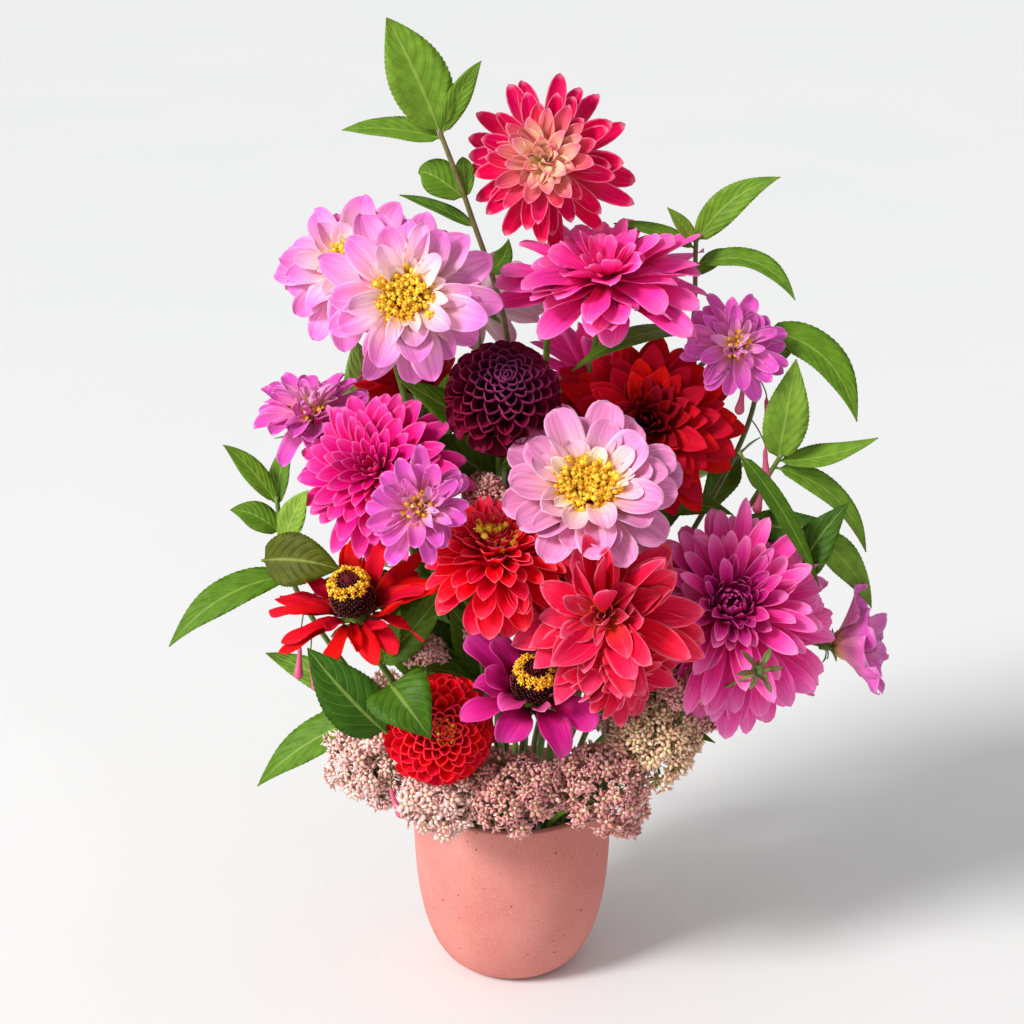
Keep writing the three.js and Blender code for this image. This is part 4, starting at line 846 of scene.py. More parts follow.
# share: radius of the eye as a share of its bloom's, count: stamens, tall: how long they are, nodes: the
# frame's solids that it replaces
EYES = {
    "lilac_dahlia_front": (0.2, 230, 1.0, ["lilac_dahlia_front_disc"]),
    "lilac_dahlia_back": (0.2, 210, 1.0, ["lilac_dahlia_back_disc"]),
    "blush_dahlia": (0.2, 260, 1.0, ["blush_dahlia_disc"]),
    "pale_dahlia_back": (0.2, 90, 1.0, []),
    "orchid_dahlia_front": (0.12, 34, 1.2, []),
    "orchid_dahlia_left": (0.1, 18, 1.0, []),
    "orchid_dahlia_right": (0.15, 40, 1.1, []),
    "cosmos": (0.14, 24, 1.0, []),
    "coral_ball_dahlia": (0.09, 26, 1.3, []),
    "red_pompon": (0.12, 70, 0.6, []),
}
for seed, (name, (share, count, tall, nodes)) in enumerate(EYES.items()):
    disc = Bundle()
    stamens(disc, name, share, count, tall, np.random.default_rng(200 + seed))
    disc.piece(f"{name}_stamens", YELLOW, "florets_yellow", *nodes)


SCALES = 420
# distance out, height over the cone, lean and count of the star florets
FLORET_RINGS = ((8.4, 2.4, 4, 15), (10.4, 2.0, 30, 19), (11.6, -0.4, 58, 21))


def zinnia_eye(name, tall, seed):
    """A scaly cone and, round its top, a ring of yellow star florets."""
    rng = np.random.default_rng(seed)
    turn, middle = set_at(BLOOMS[name].at, BLOOMS[name].face)
    eye = middle + turn[:, 2] * (-0.02 * BLOOMS[name].radius + 0.4)
    cone = Bundle()
    points, faces, _ = lathe(
        [(0, 0), (9, 0.3), (11, 0.3 * tall), (10, 0.8 * tall), (6, tall - 1), (0, tall)], 20)
    cone.add(points @ turn.T + eye, faces, [0, 0, 0.2, 0])
    t = (np.arange(SCALES) + 0.5) / SCALES
    azimuth = np.arange(SCALES) * GOLDEN
    out = np.interp(t, [0, 0.3, 0.7, 0.8, 1], [9.6, 11.4, 10.4, 7.5, 0.5])
    height = np.interp(t, [0, 0.3, 0.7, 0.8, 1], [0.5, 0.3 * tall, 0.8 * tall, tall - 1.5, tall])
    lean = np.radians(np.interp(t, [0, 0.7, 0.85, 1], [40, 22, 12, 0]) + rng.normal(0, 8, SCALES))
    base = around(azimuth, out, height)
    axis = around(azimuth, np.sin(lean), np.cos(lean))
    # A bristle lies along X in its template, so it is turned up to its axis.
    upright = (BRISTLE[0][:, [2, 1, 0]] * [-1, 1, 1], BRISTLE[1], BRISTLE[2])
    scatter(cone, upright, base @ turn.T + eye, axis @ turn.T, 4.4, azimuth, rng.random(SCALES),
            np.where(t > 0.78, 0.9, 0.0))
    cone.piece(f"{name}_cone_scales", BROWN, "cone_brown", f"{name}_cone")
    ring = Bundle()
    for out, height, lean, count in FLORET_RINGS:
        azimuth = np.arange(count) * 2 * math.pi / count + rng.normal(0, 0.08, count)
        tilt = np.radians(lean + rng.normal(0, 12, count))
        axis = around(azimuth, np.sin(tilt), np.cos(tilt))
        place = around(azimuth, out, tall + height + rng.normal(0, 0.7, count))
        scatter(ring, STAR, place @ turn.T + eye, axis @ turn.T, rng.uniform(2.0, 2.9, count),
                rng.uniform(0, 6.3, count), rng.uniform(0.3, 1, count), 0.0)
        scatter(ring, CLUB, (place - axis * 4.4) @ turn.T + eye, axis @ turn.T, 5.6, 0.0,
                rng.uniform(0.2, 0.8, count), 0.1)
    ring.piece(f"{name}_ring_florets", YELLOW, "florets_yellow", f"{name}_ring")


zinnia_eye("red_zinnia", 20, 301)
zinnia_eye("magenta_zinnia", 19, 302)

# ---------------------------------------------------------------- leaves
LEAF_TEETH = 24
LEAF_COLUMNS = 6
LEAF_THICKNESS = 0.5
TOOTH = (1.0, 0.965, 0.985)  # width of the blade at the three rows of a tooth


def leaf(bundle, root, tip, width, face, arch, tone, start=None, bias=0.8, seed=0):
    """A toothed blade from root to tip. face is the way its upper side looks, and arch lifts its middle.
    With a start, a stalk leads there first. bias moves its widest part: smaller is nearer the root."""
    if start:
        drop = np.subtract(start, root) * [0.5, 0.5, 0]
        tube(bundle, bezier([root, root + drop, start - drop * 0.3, start], 12), 1.0, 6, tone)
        root = start
    rng = np.random.default_rng(seed)
    root, tip = np.asarray(root, float), np.asarray(tip, float)
    middle = (root + tip) / 2 + 2 * np.asarray(arch, float)
    u = np.linspace(0, 1, len(TOOTH) * LEAF_TEETH + 1)
    t = u[:, None]
    rib = root * (1 - t) ** 2 + 2 * middle * t * (1 - t) + tip * t * t
    ahead = unit(np.gradient(rib, axis=0))
    side = unit(np.cross(ahead, heading(*face)))
    normal = unit(np.cross(side, ahead))
    v = np.linspace(-1, 1, LEAF_COLUMNS + 1)
    outline = np.sin(math.pi * u ** bias) ** 0.85 * (1 - 0.25 * u ** 3)
    stalk = np.clip((u - 0.03) / 0.05, 0, 1)
    saw = np.append(np.tile(TOOTH, LEAF_TEETH), 1)
    half = np.maximum(width / 2 * outline * stalk * saw, 0.4)[:, None]
    keel = 0.2 + rng.normal(0, 0.03)
    wave = 0.07 * np.sin(2 * math.pi * (1.6 * t + rng.random()) + 1.2 * np.sign(v)) * v * v
    ridge = np.abs((t * VEIN_PAIRS - VEIN_REACH * np.abs(v) ** VEIN_BEND) % 1 - 0.5)
    lift = half * (keel * np.abs(v) + wave) + 0.035 * width * (0.5 - ridge) * np.abs(v) * (1 - np.abs(v))
    # The tip hangs a little.
    lift = lift - 0.03 * width * t ** 2
    points = rib[:, None] + (half * v)[..., None] * side[:, None] + lift[..., None] * normal[:, None]
    flat = np.broadcast_to(normal[:, None], points.shape)
    thick = np.broadcast_to(LEAF_THICKNESS / 2, points.shape[:2])
    add_sheets(bundle, points[None], flat[None], thick[None], u, v, tone, [[0.0, 1.0]])
    tube(bundle, rib[:8], (0.9, 0.6), 6, tone)


# ---------------------------------------------------------------- stems
NECK = 3.9  # how far under a bloom its stem ends


def stem_route(mouth, bend):
    """From the cut end, through the vase's mouth and along the bend."""
    foot = np.array([mouth[0] * FOOT_SPREAD, mouth[1] * FOOT_SPREAD, STEM_FOOT])
    top = np.array([*mouth, MOUTH], float)
    return np.vstack([foot + (top - foot) * np.linspace(0, 1, 9)[:-1, None], bend])


def rise_of(mouth):
    """The way that a stem goes through the mouth."""
    spread = 1 - FOOT_SPREAD
    return unit(np.array([mouth[0] * spread, mouth[1] * spread, MOUTH - STEM_FOOT]))


def flower_bend(start, direction, neck, axis, lean=(0, 0, 0)):
    """A stem's curve from its start to a flower's neck. lean pushes its middle aside."""
    reach = np.linalg.norm(neck - start)
    aside = np.array(lean, float)
    corners = [
        start,
        start + direction * 0.38 * reach + aside,
        neck - axis * min(0.28 * reach, ARRIVAL) + aside,
        neck,
    ]
    return bezier(corners, 40)


def neck_of(name):
    """The end of a bloom's stem, just under the bloom, and the way that the bloom looks."""
    spec = BLOOMS[name]
    axis = heading(*spec.face)
    return np.array(spec.at, float) + axis * (spec.under * spec.radius - NECK), axis


BRACT = dict(even=True, tip=(1.8, 1.2), heart=0, columns=4)
BARE_RADIUS = 13


def calyx(bundle, name, radius, rng):
    """The cup under a bloom and its two rings of green bracts."""
    neck, axis = neck_of(name)
    size = BLOOMS[name].radius
    turn = turns(axis)[0]
    points, faces, _ = lathe(
        [(0, -4), (radius, -4), (0.1 * size, 1), (0.13 * size, 4), (0.1 * size, 5), (0, 5)], 16)
    bundle.add(points @ turn.T + neck, faces, [0.5, 0, 0.7, 0])
    inner = dict(BRACT, count=8, aim=18, curl=-20, length=0.3, width=0.16, seat=(0.08, 0), thick=0.02,
                 rows=5)
    outer = dict(inner, count=5, aim=-10, curl=-50, length=0.34, width=0.1)
    for settings, height in ((inner, 2.5), (outer, 0)):
        grow(bundle, settings, size, (turn, neck + axis * height), rng)


def bare_calyx(bundle, root, at, face, rng):
    """A green star left when a flower has dropped, on its own stalk."""
    turn, at = set_at(at, face)
    axis = heading(*face)
    neck = at - axis * 8
    tube(bundle, bezier([root, (np.array(root) + neck) / 2, neck - axis * 8, neck], 16), 1.0, 6, 0.8)
    lump(bundle, (4.2, 4.2, 3.4), (turn, at - axis * 4), 0.0)
    outer = dict(BRACT, count=6, aim=8, curl=-30, length=1.0, width=0.3, seat=(0.1, 0), thick=0.05, rows=6)
    inner = dict(outer, count=7, aim=56, curl=50, length=0.6, width=0.22)
    for settings in (outer, inner):
        grow(bundle, settings, BARE_RADIUS, (turn, at - axis * 3), rng)


BARE = {"purple_stem": [((119, -66, 212), (139, -106, 243), (14, 34))]}  # root, middle, face

STEM_RADIUS = 2.4
STEM_TIP = 0.78  # radius of a stem at its flower, as a share of its radius in the vase
SHOOT = 0.85  # radius of a side shoot where it leaves, as a share of the stem's
SHOOT_TIP = 1.5
CUP = 1.9  # radius of the foot of the cup under a bloom, and under one on a side shoot
SHOOT_CUP = 1.6
LEAFY_RADII = (2.1, 1.4)  # of a leafy stem, at its foot and at its end
RISE = 30  # how far a leafy stem goes straight on from the mouth

# mouth: place in the vase's mouth. flowers: bloom, share of the stem's bend that it leaves from, lean.
# leaves: as in LEAFY_STEMS
FLOWER_STEMS = {
    "crimson_stem": dict(mouth=(6, 16), flowers=[
        ("crimson_dahlia", None, (4, 10, 0)), ("plum_dahlia_back", 0.3, (0, 6, -6)),
        ("pale_dahlia_back", 0.34, (-8, 0, 0))], leaves=[
        (0.55, (36, 30, 372), 26, (150, 40), (0, 0, 6), 0.2),
        (0.4, (-20, 40, 330), 28, (180, 50), (0, 0, 6), 0.3)]),
    "lilac_stem": dict(mouth=(-18, 12), flowers=[
        ("lilac_dahlia_back", None, (0, 0, 0)), ("lilac_dahlia_front", 0.5, (0, 0, 0)),
        ("red_dahlia_back", 0.44, (0, 0, 0))], leaves=[
        (0.62, (-22, -6, 398), 22, (0, 40), (0, 0, 4), 0.15),
        (0.35, (-60, 10, 290), 28, (-20, 40), (0, 0, 6), 0.1)]),
    "magenta_stem": dict(mouth=(22, 9), flowers=[
        ("magenta_dahlia", None, (-8, 14, 0)), ("orchid_dahlia_right", 0.45, (8, 34, 0))], leaves=[
        (0.6, (66, 6, 372), 26, (10, 40), (0, 0, 6), 0.15),
        (0.5, (18, 4, 384), 22, (0, 50), (0, 0, 4), 0.1),
        (0.35, (110, 20, 300), 30, (60, 50), (0, 0, 8), 0.2)]),
    "maroon_stem": dict(mouth=(-3, -3), flowers=[("maroon_pompon", None, (0, 0, 0))], leaves=[
        (0.9, (-63, -26, 387), 22, (-10, 40), (0, 0, 3), 0.25),
        (0.7, (34, -26, 318), 26, (10, 40), (0, 0, 4), 0.05),
        (0.68, (-42, -30, 306), 26, (-10, 40), (0, 0, 4), 0.1),
        (0.8, (-50, -18, 348), 30, (-10, 35), (0, 0, 4), 0.15),
        (0.85, (28, -24, 356), 26, (10, 35), (0, 0, 4), 0.05),
        (0.5, (10, -24, 286), 24, (0, 30), (0, 0, 2), 0.0)]),
    "red_stem": dict(mouth=(27, -3), flowers=[("red_dahlia", None, (0, 0, 0))], leaves=[
        (0.6, (84, -38, 286), 28, (10, 40), (0, 0, 5), 0.15),
        (0.4, (26, -26, 246), 26, (0, 40), (0, 0, 4), 0.1),
        (0.75, (130, -10, 300), 22, (30, 40), (0, 0, 6), 0.2)]),
    "pink_stem": dict(mouth=(-28, -2), flowers=[
        ("pink_dahlia", None, (0, 0, 0)), ("orchid_dahlia_left", 0.5, (0, 0, 0)),
        ("orchid_dahlia_front", 0.5, (13, -8, 2))], leaves=[
        (0.55, (-112, -20, 262), 26, (-30, 40), (0, 0, 6), 0.2),
        (0.5, (-30, -34, 262), 26, (0, 40), (0, 0, 4), 0.05),
        (0.35, (-84, 6, 222), 28, (-40, 40), (0, 0, 4), 0.3)]),
    "blush_stem": dict(mouth=(13, -14), flowers=[("blush_dahlia", None, (0, 0, 0))], leaves=[
        (0.6, (6, -48, 262), 22, (0, 40), (0, 0, 4), 0.1),
        (0.4, (64, -44, 232), 26, (10, 40), (0, 0, 4), 0.1)]),
    "coral_ball_stem": dict(mouth=(-6, -19), flowers=[("coral_ball_dahlia", None, (0, 0, 0))], leaves=[
        (0.55, (-50, -64, 226), 22, (-10, 40), (0, 0, 3), 0.2),
        (0.6, (-36, -58, 262), 28, (-4, 30), (0, 0, 3), 0.1),
        (0.5, (-60, -42, 252), 30, (-10, 35), (0, 0, 3), 0.05),
        (0.7, (-46, -36, 288), 28, (-10, 35), (0, 0, 3), 0.0),
        (0.4, (24, -50, 212), 22, (10, 40), (0, 0, 3), 0.1)]),
    "coral_stem": dict(mouth=(20, -27), flowers=[("coral_dahlia", None, (0, 0, 0))], leaves=[
        (0.5, (92, -62, 204), 22, (20, 40), (0, 0, 4), 0.2)]),
    "purple_stem": dict(mouth=(34, -14), flowers=[
        ("purple_dahlia", None, (0, 0, 0)), ("cosmos", 0.4, (0, 30, 4))], leaves=[
        (0.4, (121, -40, 166), 15, (10, 50), (0, 0, 4), 0.3),
        (0.6, (74, -54, 242), 24, (0, 40), (0, 0, 4), 0.1),
        (0.5, (140, 0, 180), 22, (60, 40), (0, 0, 4), 0.2)]),
    "red_zinnia_stem": dict(mouth=(-31, -14), flowers=[("red_zinnia", None, (0, 0, 0))], leaves=[
        (0.78, (-35, -58, 276), 24, (-10, 30), (0, -4, 0), 0.25),
        (0.76, (-64, -64, 262), 12, (0, 20), (0, -2, 0), 0.4),
        (0.5, (-30, -64, 196), 20, (0, 40), (0, 0, 4), 0.1)]),
    "magenta_zinnia_stem": dict(mouth=(5, -33), flowers=[("magenta_zinnia", None, (0, 0, 0))]),
    "red_pompon_stem": dict(mouth=(-15, -30), flowers=[("red_pompon", None, (0, 0, 0))]),
}
# leaves: share of the bend, tip, width, face, arch, tone, and on some the end of a stalk and the bias
LEAFY_STEMS = {
    "leafy_stem_top": dict(mouth=(-8, 30), tone=0.3, corners=[(-6, 16, 260), (-2, 2, 400), (-24, -2, 480),
                                                             (-41, -2, 527)], leaves=[
        (0.99, (-69, 0, 588), 36, (10, 10), (0, 0, 4), 0.55),
        (0.985, (-95, 0, 526), 20, (0, 60), (0, 0, 3), 0.5),
        (0.99, (-17, 0, 564), 14, (20, 10), (0, 0, 4), 0.5),
        (0.9, (-53, 4, 500), 22, (0, 30), (-4, 0, 6), 0.35),
        (0.9, (-28, 12, 508), 12, (0, 30), (0, 0, 4), 0.4),
        (0.86, (-64, 12, 486), 10, (0, 60), (0, 0, 2), 0.2),
        (0.8, (-2, -12, 466), 14, (0, 40), (2, 0, -3), 0.2),
    ]),
    "leafy_stem_top_right": dict(mouth=(13, 30), tone=0.3, corners=[(70, 32, 300), (104, 29, 390),
                                                                   (105, 4, 463)], leaves=[
        (0.99, (151, 0, 499), 19, (10, 30), (-4, 0, 5), 0.5),
        (0.95, (160, -20, 433), 17, (0, 60), (5, 0, 12), 0.4),
        (0.98, (58, 10, 470), 12, (0, 60), (0, 0, 3), 0.4),
        (0.99, (88, 2, 481), 9, (0, 20), (0, 0, 1), 0.6),
        (0.93, (128, 18, 452), 10, (60, 40), (0, 0, 3), 0.4),
        (0.82, (34, -20, 391), 15, (0, 60), (0, -9, 12), 0.3),
    ]),
    "leafy_stem_right_arch": dict(mouth=(36, 12), tone=0.5, corners=[(96, 24, 250), (140, 14, 350),
                                                                    (146, 8, 413)], leaves=[
        (0.98, (199, -18, 360), 26, (20, 40), (8, 0, 11), 0.4),
        (0.9, (176, 30, 400), 18, (90, 60), (0, 0, 6), 0.4),
        (0.6, (150, 44, 330), 22, (120, 50), (0, 4, 5), 0.2),
    ]),
    "leafy_stem_right": dict(mouth=(46, 2), tone=0.6, corners=[(104, 4, 220), (136, -6, 296),
                                                              (156, -20, 341)], leaves=[
        (0.98, (162, -20, 398), 27, (0, 20), (0, -2, 0), 0.6),
        (0.98, (211, -20, 351), 17, (10, 60), (0, 0, -4), 0.55),
        (0.96, (208, -20, 280), 18, (20, 50), (8, 0, 8), 0.5),
        (0.8, (190, -24, 300), 22, (20, 40), (0, 0, -4), 0.1),
        (0.9, (178, -44, 268), 11.5, (-20, 30), (3, 0, 3), 0.15, (129, -44, 350)),
        (0.7, (194, -34, 316), 25, (-10, 30), (-3, 0, 0), 0.05, (163, -36, 266)),
        (0.68, (214, -14, 242), 22, (10, 40), (4, 0, 5), 0.6, (172, -12, 290)),
        (0.6, (176, 30, 262), 20, (80, 50), (0, 0, 6), 0.4),
    ]),
    "leafy_stem_left": dict(mouth=(-44, 3), tone=0.6, corners=[(-96, 2, 190), (-132, -10, 262),
                                                              (-138, -12, 312)], leaves=[
        (0.98, (-168, -10, 343), 14, (0, 30), (0, 0, 4), 0.4),
        (0.97, (-128, 6, 344), 15, (-30, 20), (-3, 0, 0), 0.3),
        (0.9, (-166, -8, 302), 18, (0, 40), (0, 0, 4), 0.3),
        (0.8, (-99, -50, 281), 33, (-10, 25), (0, -3, 4), 1.0, (-145, -36, 281)),
        (0.86, (-118, -30, 322), 18, (-10, 30), (0, -3, 4), 0.75),
        (0.78, (-203, -30, 224), 24, (-10, 50), (-4, 0, 8), 0.3),
    ]),
    "leafy_stem_lower_left": dict(mouth=(-44, -10), tone=0.6, corners=[(-60, -22, 152), (-76, -40, 184),
                                                                      (-76, -55, 206)], leaves=[
        (0.98, (-115, -96, 252), 35, (-4, 24), (0, -5, 0), 0.0, (-71, -102, 202)),
        (0.98, (-45, -122, 208), 38, (8, 28), (0, -6, 4), 0.1, (-69, -100, 232), 0.5),
        (0.8, (-153, -40, 137), 27, (-10, 50), (-4, 0, 6), 0.3),
        (0.8, (-150, 6, 204), 20, (-40, 50), (-4, 0, 5), 0.4),
    ]),
    "leafy_stem_back_left": dict(mouth=(-23, 39), tone=0.6, corners=[(-56, 70, 190), (-78, 78, 262),
                                                                    (-84, 70, 320)], leaves=[
        (0.98, (-96, 74, 382), 30, (-150, 20), (0, 0, 4), 0.4),
        (0.9, (-146, 66, 322), 26, (-120, 50), (0, 0, 8), 0.4),
        (0.8, (-40, 108, 300), 28, (180, 50), (0, 4, 8), 0.2),
        (0.6, (-130, 84, 218), 28, (-130, 50), (0, 0, 8), 0.55),
    ]),
    "leafy_stem_back_right": dict(mouth=(23, 39), tone=0.6, corners=[(64, 74, 180), (86, 84, 240),
                                                                    (92, 78, 296)], leaves=[
        (0.98, (98, 84, 356), 30, (150, 20), (0, 0, 4), 0.55),
        (0.9, (154, 74, 300), 26, (120, 50), (0, 0, 8), 0.4),
        (0.8, (40, 112, 280), 28, (180, 50), (0, 4, 8), 0.4),
        (0.6, (136, 90, 200), 28, (130, 50), (0, 0, 8), 0.2),
    ]),
}
# small pink tubular buds: root and tip
BUDS = {
    "leafy_stem_right_arch": [
        ((147, -10, 372), (149, -12, 354)), ((133, -12, 380), (131, -14, 363)),
        ((147, -14, 343), (148, -16, 323)), ((146, -14, 320), (143, -16, 303)),
    ],
    "leafy_stem_left": [((-124, -46, 232), (-125, -50, 212)), ((-118, -46, 222), (-114, -50, 204))],
    "leafy_stem_lower_left": [((-70, -84, 158), (-64, -90, 142))],
}
BUD_RADII = (0.5, 1.3, 1.5, 1.5, 1.7, 2.0, 2.4, 2.8, 3.0, 2.6, 1.2)  # from its root to its mouth


def flower_stem(name, mouth, flowers, seed, leaves=()):
    """The first flower ends the stem, and each other one is on a side shoot."""
    rng = np.random.default_rng(seed)
    bundle = Bundle()
    start = np.array([*mouth, MOUTH], float)
    bloom_name, _, lean = flowers[0]
    neck, axis = neck_of(bloom_name)
    bend = flower_bend(start, rise_of(mouth), neck, axis, lean)
    route = stem_route(mouth, bend)
    tube(bundle, route, (STEM_RADIUS, STEM_RADIUS * STEM_TIP), 10, 0.75)
    calyx(bundle, bloom_name, CUP, rng)
    for bloom_name, share, lean in flowers[1:]:
        origin, direction = at_share(bend, share)
        neck, axis = neck_of(bloom_name)
        shoot = flower_bend(origin, direction, neck, axis, lean)
        tube(bundle, shoot, (STEM_RADIUS * SHOOT, SHOOT_TIP), 8, 0.75)
        calyx(bundle, bloom_name, SHOOT_CUP, rng)
    for root, at, face in BARE.get(name, ()):
        bare_calyx(bundle, root, at, face, rng)
    bundle.piece(f"{name}_green", STEM, "stem", name)
    if leaves:
        foliage(f"{name}_leaves", "stem", name, bend, leaves, 10 * seed)


def foliage(piece, slot, node, bend, leaves, seed):
    """The leaves of a stem: rows as in LEAFY_STEMS."""
    blades = Bundle()
    for k, (share, *blade) in enumerate(leaves):
        root, _ = at_share(bend, share)
        leaf(blades, root, *blade, seed=seed + k)
    blades.piece(piece, LEAF, slot, node)


def leafy_stem(name, mouth, corners, leaves, tone, seed):
    """A stem through its corners, with its leaves and pink buds."""
    start = np.array([*mouth, MOUTH], float)
    bend = through([start, start + rise_of(mouth) * RISE, *corners], 16)
    route = stem_route(mouth, bend)
    bundle = Bundle()
    tube(bundle, route, LEAFY_RADII, 10, tone)
    for root, tip in BUDS.get(name, ()):
        root, tip = np.array(root, float), np.array(tip, float)
        drop = root - [0, 0, 0.4 * np.linalg.norm(root - tip)]
        near = bend[np.argmin(np.linalg.norm(bend - root, axis=1))]
        tube(bundle, bezier([near, near + [0, 0, 5], root + [0, 0, 4], root], 10), 0.45, 5, 0.5)
        tube(bundle, bezier([root, drop, tip + [0, 0, 4], tip], 10), BUD_RADII, 8, 0.5, 1.0)
    bundle.piece(f"{name}_stalk", STEM, "stem", name)
    foliage(f"{name}_leaves", "leaf", name, bend, leaves, seed)


for seed, (name, spec) in enumerate(FLOWER_STEMS.items()):
    flower_stem(name, **spec, seed=400 + seed)

for seed, (name, spec) in enumerate(LEAFY_STEMS.items()):
    leafy_stem(name, **spec, seed=500 + 20 * seed)


# ---------------------------------------------------------------- stonecrop heads
# mouth, middle of the head, half its width, depth and height, face, material
STONECROP = {
    "stonecrop_left": ((-36, -25), (-80, -56, 161), (29, 23, 31), (-60, 20), SEDUM_PINK),
    "stonecrop_front_left": ((-22, -41), (-42, -82, 150), (23, 16, 20), (-20, 20), SEDUM_PINK),
    "stonecrop_front": ((-5, -45), (1, -83, 155), (29, 19, 25), (0, 20), SEDUM_MAUVE),
    "stonecrop_front_right": ((22, -40), (52, -77, 155), (30, 21, 30), (20, 20), SEDUM_MAUVE),
    "stonecrop_cream": ((38, -26), (83, -61, 178), (28, 22, 28), (50, 30), SEDUM_CREAM),
    "stonecrop_right": ((46, -11), (113, -31, 192), (20, 16, 17), (60, 40), SEDUM_MAUVE),
    "stonecrop_back_left": ((-38, 24), (-72, 40, 152), (26, 22, 20), (-120, 20), SEDUM_PINK),
    "stonecrop_back": ((2, 44), (2, 82, 153), (27, 19, 20), (180, 20), SEDUM_MAUVE),
    "stonecrop_back_right": ((39, 25), (74, 42, 152), (26, 22, 20), (120, 20), SEDUM_PINK),
}
# smaller heads on side shoots: middle, radius, and share of the stem's bend that the shoot leaves from
SIDE_HEADS = {
    "stonecrop_left": [((-50, -46, 224), 13, 0.3)],
    "stonecrop_front": [((-15, -28, 318), 13, 0.3), ((-19, -44, 240), 11, 0.3)],
    "stonecrop_front_right": [((67, -76, 128), 7, 0.9)],
    "stonecrop_right": [((99, -68, 212), 15, 0.5)],
}


UMBELS = 24  # in a large head
UMBEL_FLORETS = 16
SIDE_FLORETS = 20  # in an umbel of a side head
SIDE_UMBEL = 6.0  # radius of such an umbel
STONECROP_RADII = (2.0, 1.7)  # of its stem, at its foot and at its end
SIDE_STALK = 1.2


def sphere_points(count, lowest):
    """Evenly spread directions on a ball, down to the height lowest."""
    height = 1 - (1 - lowest) * (np.arange(count) + 0.5) / count
    return around(np.arange(count) * GOLDEN, np.sqrt(1 - height * height), height)


def umbel(florets, stalks, hub, outward, middle, radius, count, rng):
    """Star florets and buds on fine stalks that spread from the end of a branch."""
    tube(stalks, bezier([hub, hub + [0, 0, 3], middle - outward * 6, middle], 8), 0.8, 5, 0.65)
    turn = turns(unit(outward + [0, 0, 0.25]))[0]
    spread = sphere_points(count, -0.2)
    spread = unit(spread + rng.normal(0, 0.16, spread.shape)) @ turn.T
    reach = radius * rng.uniform(0.72, 1.12, count)[:, None]
    places = middle + spread * reach
    size = rng.uniform(2.0, 3.0, count) * (0.7 + radius / 26)
    tones = rng.random(count)
    opened = rng.random(count) < 0.6
    scatter(florets, STAR, places[opened], spread[opened], 2.1 * size[opened],
            rng.uniform(0, 6.3, opened.sum()), tones[opened], 0.0)
    scatter(florets, BUD, places - spread * 0.6, spread, size, 0.0, tones, np.where(opened, 0.2, 0.0))
    scatter(florets, STALK, np.repeat(middle[None], count, axis=0), spread, reach[:, 0], 0.0, 0.6, 0.0)


def stonecrop(name, mouth, at, size, face, material, seed):
    """A head of umbels that branch from the end of its stem, and its side heads."""
    rng = np.random.default_rng(seed)
    at, size = np.array(at, float), np.array(size, float)
    start = np.array([*mouth, MOUTH], float)
    bend = flower_bend(start, rise_of(mouth), at - [0, 0, 0.4 * size[2]], heading(*face))
    route = stem_route(mouth, bend)
    stalks = Bundle()
    tube(stalks, route, STONECROP_RADII, 8, 0.75)
    florets = Bundle()
    for outward in sphere_points(UMBELS, -0.8):
        middle = at + outward * size * rng.uniform(0.6, 0.86)
        umbel(florets, stalks, route[-1], outward, middle, rng.uniform(6.6, 9.6), UMBEL_FLORETS, rng)
    for place, radius, share in SIDE_HEADS.get(name, ()):
        place = np.array(place, float)
        hub = place - [0, 0, 0.6 * radius]
        origin, direction = at_share(bend, share)
        climb = max(0.3 * (hub[2] - origin[2]), 0)
        side = bezier([origin, origin + direction * climb, hub - [0, 0, climb], hub], 20)
        tube(stalks, side, SIDE_STALK, 6, 0.7)
        for outward in sphere_points(max(int(radius * 0.6), 3), -0.2):
            middle = place + outward * max(radius - SIDE_UMBEL, 1.5)
            umbel(florets, stalks, hub, outward, middle, SIDE_UMBEL, SIDE_FLORETS, rng)
    slot = "stonecrop_cream" if material is SEDUM_CREAM else "stonecrop_pink"
    florets.piece(f"{name}_florets", material, slot, name)
    stalks.piece(f"{name}_stalks", STEM, "stem", name)


for seed, (name, spec) in enumerate(STONECROP.items()):
    stonecrop(name, *spec, 700 + seed)


# ---------------------------------------------------------------- vase and water
VASE_SIDES = 144
VASE_ROWS = 48
RIM_ROUND = 1.4


def vase_radius(height):
    """The outside of the wall."""
    share = 1 - np.clip(height / VASE_HEIGHT, 0, 1)
    return FOOT_RADIUS + (RIM_RADIUS - FOOT_RADIUS) * (1 - share ** VASE_CURVE[0]) ** (1 / VASE_CURVE[1])


def wall(inset, low, high):
    """Radius and height of one side of the wall, from low to high."""
    height = low + (high - low) * np.linspace(0, 1, VASE_ROWS + 1) ** 1.7
    return np.stack([vase_radius(height) - inset, height], axis=1)


def vase():
    outside = wall(0, 0, VASE_HEIGHT - RIM_ROUND)
    inside = wall(WALL, FLOOR, VASE_HEIGHT - RIM_ROUND)[::-1]
    turn = np.linspace(0, math.pi, 12)[1:-1]
    middle = RIM_RADIUS - WALL / 2
    lip = np.stack([
        middle + np.cos(turn) * WALL / 2,
        VASE_HEIGHT - RIM_ROUND + np.sin(turn) * RIM_ROUND,
    ], axis=1)
    profile = np.vstack([[(0, 0)], outside, lip, inside, [(0, FLOOR)]])
    points, faces, _ = lathe(profile, VASE_SIDES)
    bundle = Bundle()
    bundle.add(points, faces, [0, 0, 0.5, 0])
    bundle.piece("vase_clay", VASE, "vase", "vase")


vase()
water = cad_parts["water"]
water.data.materials.clear()
water.data.materials.append(water_material())

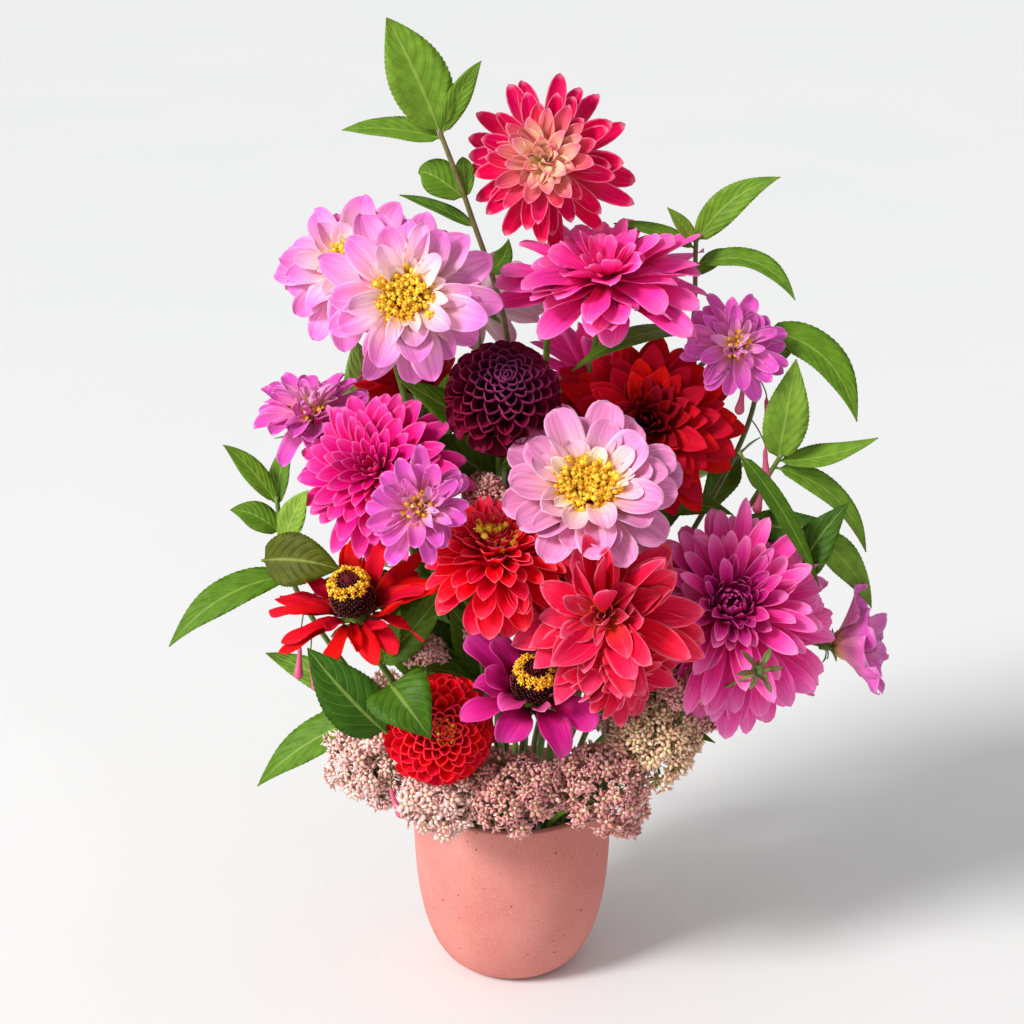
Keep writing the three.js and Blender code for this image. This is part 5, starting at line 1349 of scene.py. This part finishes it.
# ---------------------------------------------------------------- floor, light and camera
CAMERA_AT = (0, -1341, 799)
CAMERA_PITCH = 20.5  # degrees below the horizon
CAMERA_LENS = 85
LIT_POINT = (0, 0, 300)
SKY = (0.97, 0.98, 1.0, 1.0)
SKY_STRENGTH = 0.56
FLOOR_REACH = 6000


def floor():
    mesh = bpy.data.meshes.new("floor")
    reach = FLOOR_REACH * MM
    corners = [(-reach, -reach, 0), (reach, -reach, 0), (reach, reach, 0), (-reach, reach, 0)]
    mesh.from_pydata(corners, [], [(0, 1, 2, 3)])
    made = bpy.data.objects.new("floor", mesh)
    bpy.context.scene.collection.objects.link(made)
    shader = Shader("floor", Roughness=0.7, Specular_IOR_Level=0.2)
    tint = shader.mix(shader.remap(shader.position(3.0), 0.3, 0.7), rgb("e6e6e5"), rgb("e8e7e6"))
    mesh.materials.append(shader.colour(tint))


def light(name, kind, place, size, power):
    """A light that looks from its place to the middle of the flowers."""
    data = bpy.data.lights.new(name, kind)
    data.energy = power
    if kind == "SUN":
        data.angle = size
    else:
        data.size = size
    made = bpy.data.objects.new(name, data)
    made.location = np.array(place) * MM
    away = turns(np.subtract(place, LIT_POINT))[0]
    made.rotation_mode = "QUATERNION"
    made.rotation_quaternion = Matrix(away.tolist()).to_quaternion()
    bpy.context.scene.collection.objects.link(made)


def camera():
    """The photograph's view."""
    data = bpy.data.cameras.new("camera")
    data.lens = CAMERA_LENS
    made = bpy.data.objects.new("camera", data)
    made.location = [c * MM for c in CAMERA_AT]
    made.rotation_euler = (math.radians(90 - CAMERA_PITCH), 0, 0)
    bpy.context.scene.collection.objects.link(made)
    bpy.context.scene.camera = made


floor()
light("key", "SUN", (-1700, -1250, 1900), math.radians(16), 2.9)
light("fill", "AREA", (-1500, -700, 500), 1.2, 11)
world = bpy.data.worlds.new("studio")
world.use_nodes = True
background = world.node_tree.nodes["Background"].inputs
background["Color"].default_value = SKY
background["Strength"].default_value = SKY_STRENGTH
bpy.context.scene.world = world
bpy.context.scene.view_settings.view_transform = "Standard"
camera()
